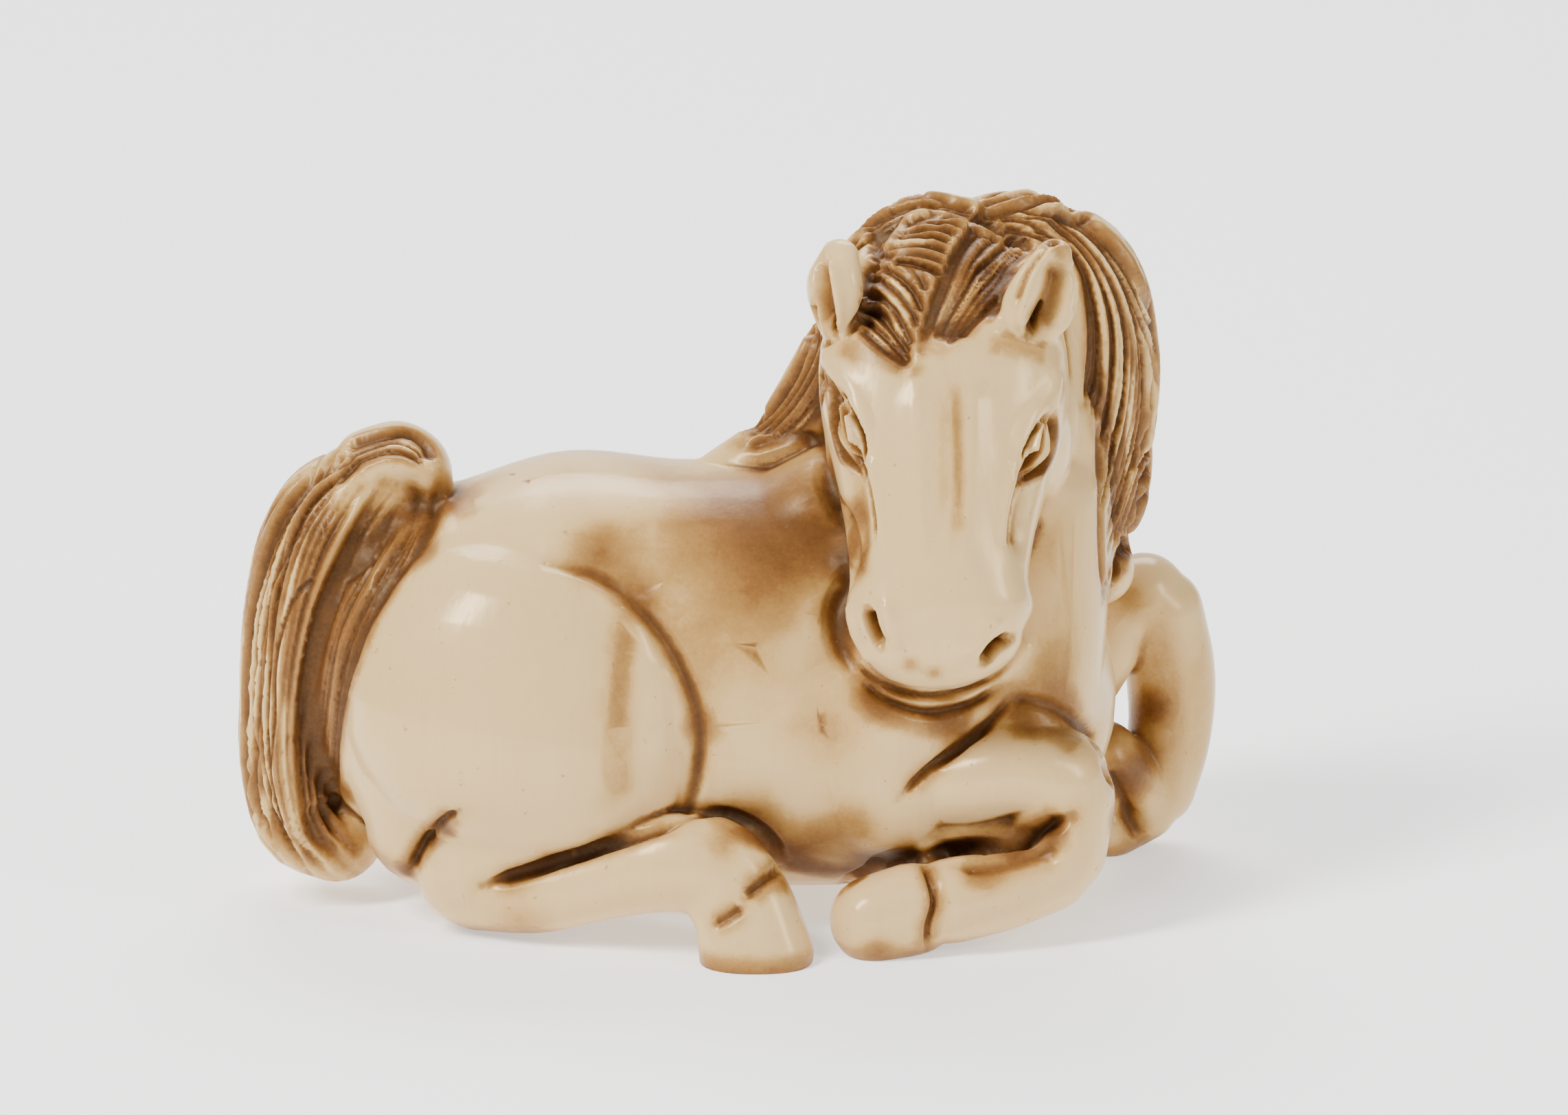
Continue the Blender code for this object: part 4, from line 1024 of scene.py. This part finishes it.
STAIN_AND_SHADE_CLOUDS = [
    # side, across, up, radius in MM, strength
    ("near", 1105, 735, 6.0, 0.54), ("near", 1180, 790, 3.4, 0.58), ("near", 1215, 700, 1.8, 0.66),
    ("near", 1228, 815, 1.6, 0.90), ("near", 1222, 890, 1.5, 0.40), ("near", 1030, 800, 6.5, 0.26),
    ("near", 1120, 850, 3.4, 0.34), ("near", 660, 730, 1.9, 0.60), ("near", 610, 800, 1.4, 0.45),
    ("near", 700, 705, 2.4, 0.26), ("near", 870, 800, 2.8, 0.34), ("near", 925, 870, 1.9, 0.40),
    # painted shade under the belly
    ("near", 1100, 1190, 2.4, 0.40), ("near", 1180, 1230, 2.8, 0.45), ("near", 1260, 1250, 2.0, 0.50),
    # the first: painted shade under the belly
    ("near", 1240, 1200, 2.4, 0.32), ("near", 1480, 1230, 1.3, 0.60), ("near", 1530, 1218, 1.2, 0.40),
    ("near", 1430, 1275, 1.7, 0.30), ("near", 1290, 1010, 2.2, 0.55), ("near", 1380, 1045, 1.9, 0.50),
    ("near", 1470, 1020, 1.5, 0.36), ("near", 1550, 1030, 1.9, 0.40), ("near", 1500, 1055, 1.6, 0.35),
    ("near", 1550, 930, 3.0, 0.20), ("near", 1530, 990, 2.2, 0.32), ("near", 1540, 800, 3.4, 0.20),
    ("near", 1640, 870, 1.8, 0.26), ("near", 1650, 1130, 2.2, 0.75),
    # the last: painted shade on the flank
    ("near", 1620, 1190, 1.5, 0.55), ("near", 1200, 1060, 4.0, 0.22),
    # the first: painted shade down the far foreleg
    ("near", 1720, 1010, 7.0, 0.10), ("near", 1680, 1030, 1.5, 0.66),
    ("near", 1668, 1100, 1.6, 0.50), ("near", 1250, 820, 1.4, 0.36),
    ("near", 1240, 750, 1.4, 0.36), ("near", 1325, 968, 0.9, 0.26), ("near", 1360, 980, 0.9, 0.26),
    ("near", 560, 1260, 2.4, 0.34),
    ("near", 500, 1150, 1.4, 0.60), ("near", 1280, 1380, 1.3, 0.26), ("near", 1450, 1370, 2.6, 0.22),
    # the last two: painted shade under the belly
    ("near", 760, 1345, 2.8, 0.20), ("near", 1050, 1230, 1.6, 0.24), ("near", 1140, 1290, 1.0, 0.30),
    ("near", 1020, 1060, 1.4, 0.34), ("near", 650, 1210, 1.0, 0.45), ("near", 590, 1268, 0.9, 0.70),
    # the last: painted shade on the flank
    ("near", 960, 690, 3.6, 0.20), ("near", 830, 690, 3.0, 0.14), ("near", 1080, 950, 5.0, 0.20),
    ("far", -16.0, 14.0, 3.6, 0.35), ("far", -4.0, 7.0, 2.8, 0.45), ("far", 6.0, 17.5, 4.0, 0.45),
    ("far", 15.0, 13.0, 3.2, 0.50), ("far", 2.0, 10.0, 3.8, 0.22), ("far", 19.5, 7.0, 2.2, 0.60),
    ("chest end", 4.5, 8.0, 2.8, 0.50), ("chest end", -3.0, 5.0, 3.0, 0.30),
]
stain_and_shade_clouds = np.zeros(len(carved))
for side, across, up, radius, strength in STAIN_AND_SHADE_CLOUDS:
    eye, way = sight(side, across, up)
    spot = faces.ray_cast(eye * MM, way)[0]
    if spot:
        gap = np.linalg.norm(skin - np.array(spot), axis=1) / (radius * MM)
        stain_and_shade_clouds = 1 - (1 - stain_and_shade_clouds) * (1 - strength * over(1 - gap, 0, 1))
# painted shade: the skin is darkened towards the soles, where the carving nears the floor
UNDERSIDE_SHADE = 0.42
painted_underside_shade = over(-carved[:, 2] / MM, -1.9, -0.5) * UNDERSIDE_SHADE

hollow_stain = np.clip(0.66 * over(valley, 0.10, 0.75) + 0.4 * over(lock_hollow, 0.03, 0.25), 0, 1)
# stain and painted shade are put together here
clean = (1 - stain_and_shade_clouds) * (1 - crease_stain_and_shade) * (1 - hollow_stain) * (1 - painted_underside_shade)
body_stain_and_shade = 1 - clean
hair_stain = 0.60 + 0.34 * over(lock_hollow, -0.03, 0.12) + 0.18 * over(fine_hollow, 0.006, 0.035)
hair_stain -= 0.22 * over(-lock_hollow, 0.03, 0.14) + 0.52 * worn * over(0.05 - lock_hollow, 0, 0.07)
hair_stain += 0.35 * crease_stain_and_shade
PALEST_HAIR, DARKEST_HAIR = 0.04, 0.92
hair_stain = np.clip(hair_stain, PALEST_HAIR, DARKEST_HAIR)
stain_and_shade = body_stain_and_shade * (1 - hair_ground) + hair_stain * hair_ground
stain_and_shade *= 1 - 0.85 * wiped * (1 - hair_ground)
print("stained share:", round(float((stain_and_shade > 0.5).mean()), 3))

# %% [markdown]
# ## Fewer triangles, and the soles
#
# The fused skin has an even grain everywhere. Decimation gives the smooth haunches larger faces and
# leaves the small ones to the hair and the eyes. A vertex group slows it where the stain and painted
# shade change and stops it at the eyes. The stain and painted shade are kept by looking up, for each
# point that is left, the nearest point of the full skin. A Boolean trims the soles level.

# %% Thin the mesh and keep the stain and the painted shade
STAIN_KEEP = 6e-5
THINNING_STEPS = 10
rough_stain_and_shade = relaxed(stain_and_shade[:, None], 24)[:, 0]
thinning = 1 - 0.9 * over(np.abs(stain_and_shade - rough_stain_and_shade), 0.01, 0.08)
for spot, radius in spots:
    thinning[np.linalg.norm(skin - spot, axis=1) < radius * 0.8] = 0.0
group = horse.vertex_groups.new(name="thinning")
for level in range(THINNING_STEPS + 1):
    members = np.flatnonzero(np.round(thinning * THINNING_STEPS) == level)
    group.add(members.tolist(), level / THINNING_STEPS, "REPLACE")
apply_modifier(horse, "DECIMATE", ratio=KEPT_TRIANGLES / triangles(horse),
               vertex_group="thinning", vertex_group_factor=STAIN_KEEP)
bpy.ops.mesh.primitive_cube_add(size=1.0)
slab = bpy.context.object
slab.dimensions = (2 * FIGURE_LENGTH, 2 * FIGURE_LENGTH, FIGURE_LENGTH / 4)
slab.location.z = SOLE_CUT - FIGURE_LENGTH / 8
bpy.ops.object.transform_apply(location=True, rotation=False, scale=True)
apply_modifier(horse, "BOOLEAN", operation="DIFFERENCE", solver="EXACT", object=slab)
bpy.data.objects.remove(slab)
carved_tree = tree_of(carved)
kept = read_points(horse, "place")
nearest = np.array([carved_tree.find(point)[1] for point in kept])
# the attribute carries the painted shade as well as the stain
layer = horse.data.attributes.new("stain_and_shade", "FLOAT", "POINT")
layer.data.foreach_set("value", stain_and_shade[nearest].astype(np.float32))
horse.data.shade_smooth()
print("kept:", triangles(horse), "triangles")

# %% [markdown]
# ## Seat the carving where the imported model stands
#
# The middle of the footprint is the origin, and the soles are at height nought, as on the CAD.

# %% Seat it
low_cad, high_cad = (Vector(corner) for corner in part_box("horse"))
low, high = kept.min(axis=0), kept.max(axis=0)
SEAT = Vector((
    (low_cad.x + high_cad.x - low[0] - high[0]) / 2,
    (low_cad.y + high_cad.y - low[1] - high[1]) / 2,
    low_cad.z - low[2],
))
horse.data.transform(Matrix.Translation(SEAT))
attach(horse, "root")
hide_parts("horse")
print("seat:", [round(v * 1000, 3) for v in SEAT], "mm; size", ((high - low) * 1000).round(2))

# %% [markdown]
# ## Polished, stained ivory
#
# Old ivory is a warm cream that lets a little light in, with a faint straight grain and a few dark
# pores. The brown stain is tan where it is thin and nearly black where it is thickest; the same brown
# also carries painted shade under the belly, at the soles, on the flank, down the far foreleg and on
# one facet of the nose. The polish sits on the high places: they shine, while the stained cuts stay
# dull. One material does all of it from the stain and painted shade that were brushed on the mesh, so
# no picture has to be wrapped on.

# %% Small helpers for shader nodes
ivory = bpy.data.materials.new("polished_ivory")
ivory.use_nodes = True
nodes, links = ivory.node_tree.nodes, ivory.node_tree.links


def noise(place, scale, detail=3.0, roughness=0.55):
    """A noise pattern at a place, as a value from 0 to 1."""
    made = nodes.new("ShaderNodeTexNoise")
    made.inputs["Scale"].default_value = scale
    made.inputs["Detail"].default_value = detail
    made.inputs["Roughness"].default_value = roughness
    links.new(place, made.inputs["Vector"])
    return made.outputs["Fac"]


def maths(operation, *values, clamp=False):
    """One arithmetic step on sockets or plain numbers."""
    made = nodes.new("ShaderNodeMath")
    made.operation = operation
    made.use_clamp = clamp
    for socket, value in zip(made.inputs, values):
        if isinstance(value, (int, float)):
            socket.default_value = value
        else:
            links.new(value, socket)
    return made.outputs[0]


def ramp(value, stops):
    """A value turned into a colour by a row of stops."""
    made = nodes.new("ShaderNodeValToRGB")
    while len(made.color_ramp.elements) < len(stops):
        made.color_ramp.elements.new(0.5)
    for element, (position, colour) in zip(made.color_ramp.elements, stops):
        element.position = position
        element.color = (*colour, 1)
    links.new(value, made.inputs["Fac"])
    return made.outputs["Color"]


def mixed(share, first, second):
    """Two colours blended by a share."""
    made = nodes.new("ShaderNodeMix")
    made.data_type = "RGBA"
    for socket, value in ((made.inputs[0], share), (made.inputs[6], first), (made.inputs[7], second)):
        if isinstance(value, tuple):
            socket.default_value = (*value, 1)
        else:
            links.new(value, socket)
    return made.outputs[2]


# %% Ivory material
gloss = nodes["Principled BSDF"]
place = nodes.new("ShaderNodeTexCoord").outputs["Object"]
# the attribute holds the stain and the painted shade together
brushed_stain_and_shade = nodes.new("ShaderNodeAttribute")
brushed_stain_and_shade.attribute_name = "stain_and_shade"
brushed_stain_and_shade = brushed_stain_and_shade.outputs["Fac"]

stretched = nodes.new("ShaderNodeMapping")
stretched.inputs["Scale"].default_value = (2600, 2600, 110)
links.new(place, stretched.inputs["Vector"])
grain = noise(stretched.outputs["Vector"], 1.0, 2.0)
soft = noise(place, 150, 3.0)
mottle = noise(place, 700, 4.0, 0.6)
powder = noise(place, 5200, 3.0, 0.7)

cream = mixed(soft, (0.65, 0.44, 0.19), (0.72, 0.515, 0.255))
cream = mixed(maths("MULTIPLY", grain, 0.20), cream, (0.48, 0.29, 0.11))

blotches = maths("MULTIPLY_ADD", mottle, 0.44, -0.22)
specks = maths("MULTIPLY_ADD", powder, 0.30, -0.15)
uneven = maths("ADD", blotches, specks)
uneven = maths("MULTIPLY", uneven, maths("MULTIPLY", brushed_stain_and_shade, 1.5, clamp=True))
tone = maths("ADD", brushed_stain_and_shade, uneven, clamp=True)
brown = ramp(tone, [
    (0.0, (0.66, 0.45, 0.19)), (0.15, (0.50, 0.30, 0.095)), (0.30, (0.34, 0.18, 0.050)),
    (0.45, (0.225, 0.100, 0.025)), (0.60, (0.155, 0.061, 0.014)), (0.80, (0.100, 0.036, 0.007)),
    (1.0, (0.052, 0.016, 0.003)),
])
cover = maths("MULTIPLY", tone, 4.5, clamp=True)
colour = mixed(cover, cream, brown)
pores = ramp(noise(place, 2600, 1.0), [(0.74, (0, 0, 0)), (0.80, (1, 1, 1))])
colour = mixed(maths("MULTIPLY", pores, 0.45), colour, (0.20, 0.10, 0.04))
links.new(colour, gloss.inputs["Base Color"])
links.new(maths("MULTIPLY_ADD", tone, 0.34, 0.22), gloss.inputs["Roughness"])
gloss.inputs["IOR"].default_value = 1.50
gloss.inputs["Specular IOR Level"].default_value = 0.42
gloss.inputs["Specular Tint"].default_value = (1.0, 0.80, 0.52, 1.0)
gloss.inputs["Subsurface Weight"].default_value = 0.15
gloss.inputs["Subsurface Radius"].default_value = (1.0, 0.62, 0.36)
gloss.inputs["Subsurface Scale"].default_value = 0.0008

bump = nodes.new("ShaderNodeBump")
bump.inputs["Strength"].default_value = 0.25
bump.inputs["Distance"].default_value = 0.00004
links.new(maths("ADD", grain, maths("MULTIPLY", powder, tone)), bump.inputs["Height"])
links.new(bump.outputs["Normal"], gloss.inputs["Normal"])
horse.data.materials.clear()
horse.data.materials.append(ivory)
print("ivory nodes:", len(nodes))

# %% [markdown]
# ## Stage, light and camera
#
# The photograph is a studio picture on white: a pale sweep that curves up behind the carving, one
# large soft light from above on the left, another from the right, one behind, and white all
# round. The camera looks along +Y from 16 degrees above level through a long lens.

# %% Sweep
bpy.ops.object.select_all(action="DESELECT")
bpy.ops.mesh.primitive_plane_add(size=1.2, location=(0, 0.25, 0))
sweep = bpy.context.object
sweep.name = "pale_sweep"
bpy.ops.object.transform_apply(location=True, rotation=False, scale=False)
FAR_RIM = 0.8
for rim in sweep.data.edges:
    rim.select = all(sweep.data.vertices[i].co.y > FAR_RIM for i in rim.vertices)
for corner in sweep.data.vertices:
    corner.select = corner.co.y > FAR_RIM
sweep.data.polygons[0].select = False
bpy.ops.object.mode_set(mode="EDIT")
bpy.ops.mesh.select_mode(type="EDGE")
bpy.ops.mesh.extrude_region_move(TRANSFORM_OT_translate={"value": (0, 0, 0.9)})
bpy.ops.object.mode_set(mode="OBJECT")
apply_modifier(sweep, "BEVEL", width=0.3, segments=16, limit_method="ANGLE")
sweep.data.shade_smooth()
paper = bpy.data.materials.new("white_paper")
paper.use_nodes = True
sheet = paper.node_tree.nodes["Principled BSDF"]
sheet.inputs["Base Color"].default_value = (0.9, 0.9, 0.9, 1)
sheet.inputs["Roughness"].default_value = 0.8
sheet.inputs["Emission Color"].default_value = (1.0, 1.0, 1.0, 1)
sheet.inputs["Emission Strength"].default_value = 0.7
sweep.data.materials.append(paper)
print("sweep faces:", len(sweep.data.polygons))

# %% Light
def soft_box(name, place, wide, tall, power, colour):
    """An oblong area light at a place, turned to face the carving."""
    bpy.ops.object.light_add(type="AREA", location=place)
    made = bpy.context.object
    made.name = name
    made.data.shape = "RECTANGLE"
    made.data.size = wide
    made.data.size_y = tall
    made.data.energy = power
    made.data.color = colour
    aim = Vector((0.0, 0.0, 0.016)) - Vector(place)
    made.rotation_euler = aim.to_track_quat("-Z", "Y").to_euler()


soft_box("key_light", (-0.26, -0.20, 0.36), 0.09, 0.22, 3.8, (1.0, 0.99, 0.97))
soft_box("fill_light", (0.36, -0.24, 0.22), 0.10, 0.22, 1.3, (1.0, 0.99, 0.98))
soft_box("back_light", (0.0, 0.34, 0.46), 0.40, 0.24, 3.6, (1.0, 1.0, 1.0))
world = bpy.data.worlds.new("white_room")
bpy.context.scene.world = world
world.use_nodes = True
room = world.node_tree.nodes["Background"]
room.inputs["Color"].default_value = (1.0, 1.0, 1.0, 1.0)
room.inputs["Strength"].default_value = 0.16

# %% Camera
bpy.ops.object.camera_add()
camera = bpy.context.object
camera.name = "photo_camera"
level, lift = math.cos(VIEW_ABOVE_LEVEL), math.sin(VIEW_ABOVE_LEVEL)
away = Vector((0, -level, lift))
camera.location = SHEET_TARGET * MM + SEAT + away * VIEW_DISTANCE * MM
camera.rotation_euler = (-away).to_track_quat("-Z", "Y").to_euler()
SENSOR_WIDTH = 36.0
camera.data.sensor_width = SENSOR_WIDTH
camera.data.lens = SENSOR_WIDTH * VIEW_DISTANCE / (2 * SHEET_MIDDLE[0] / SHEET_SCALE)
camera.data.clip_start = 0.01
bpy.context.scene.camera = camera
print("lens:", round(camera.data.lens, 1), "mm")
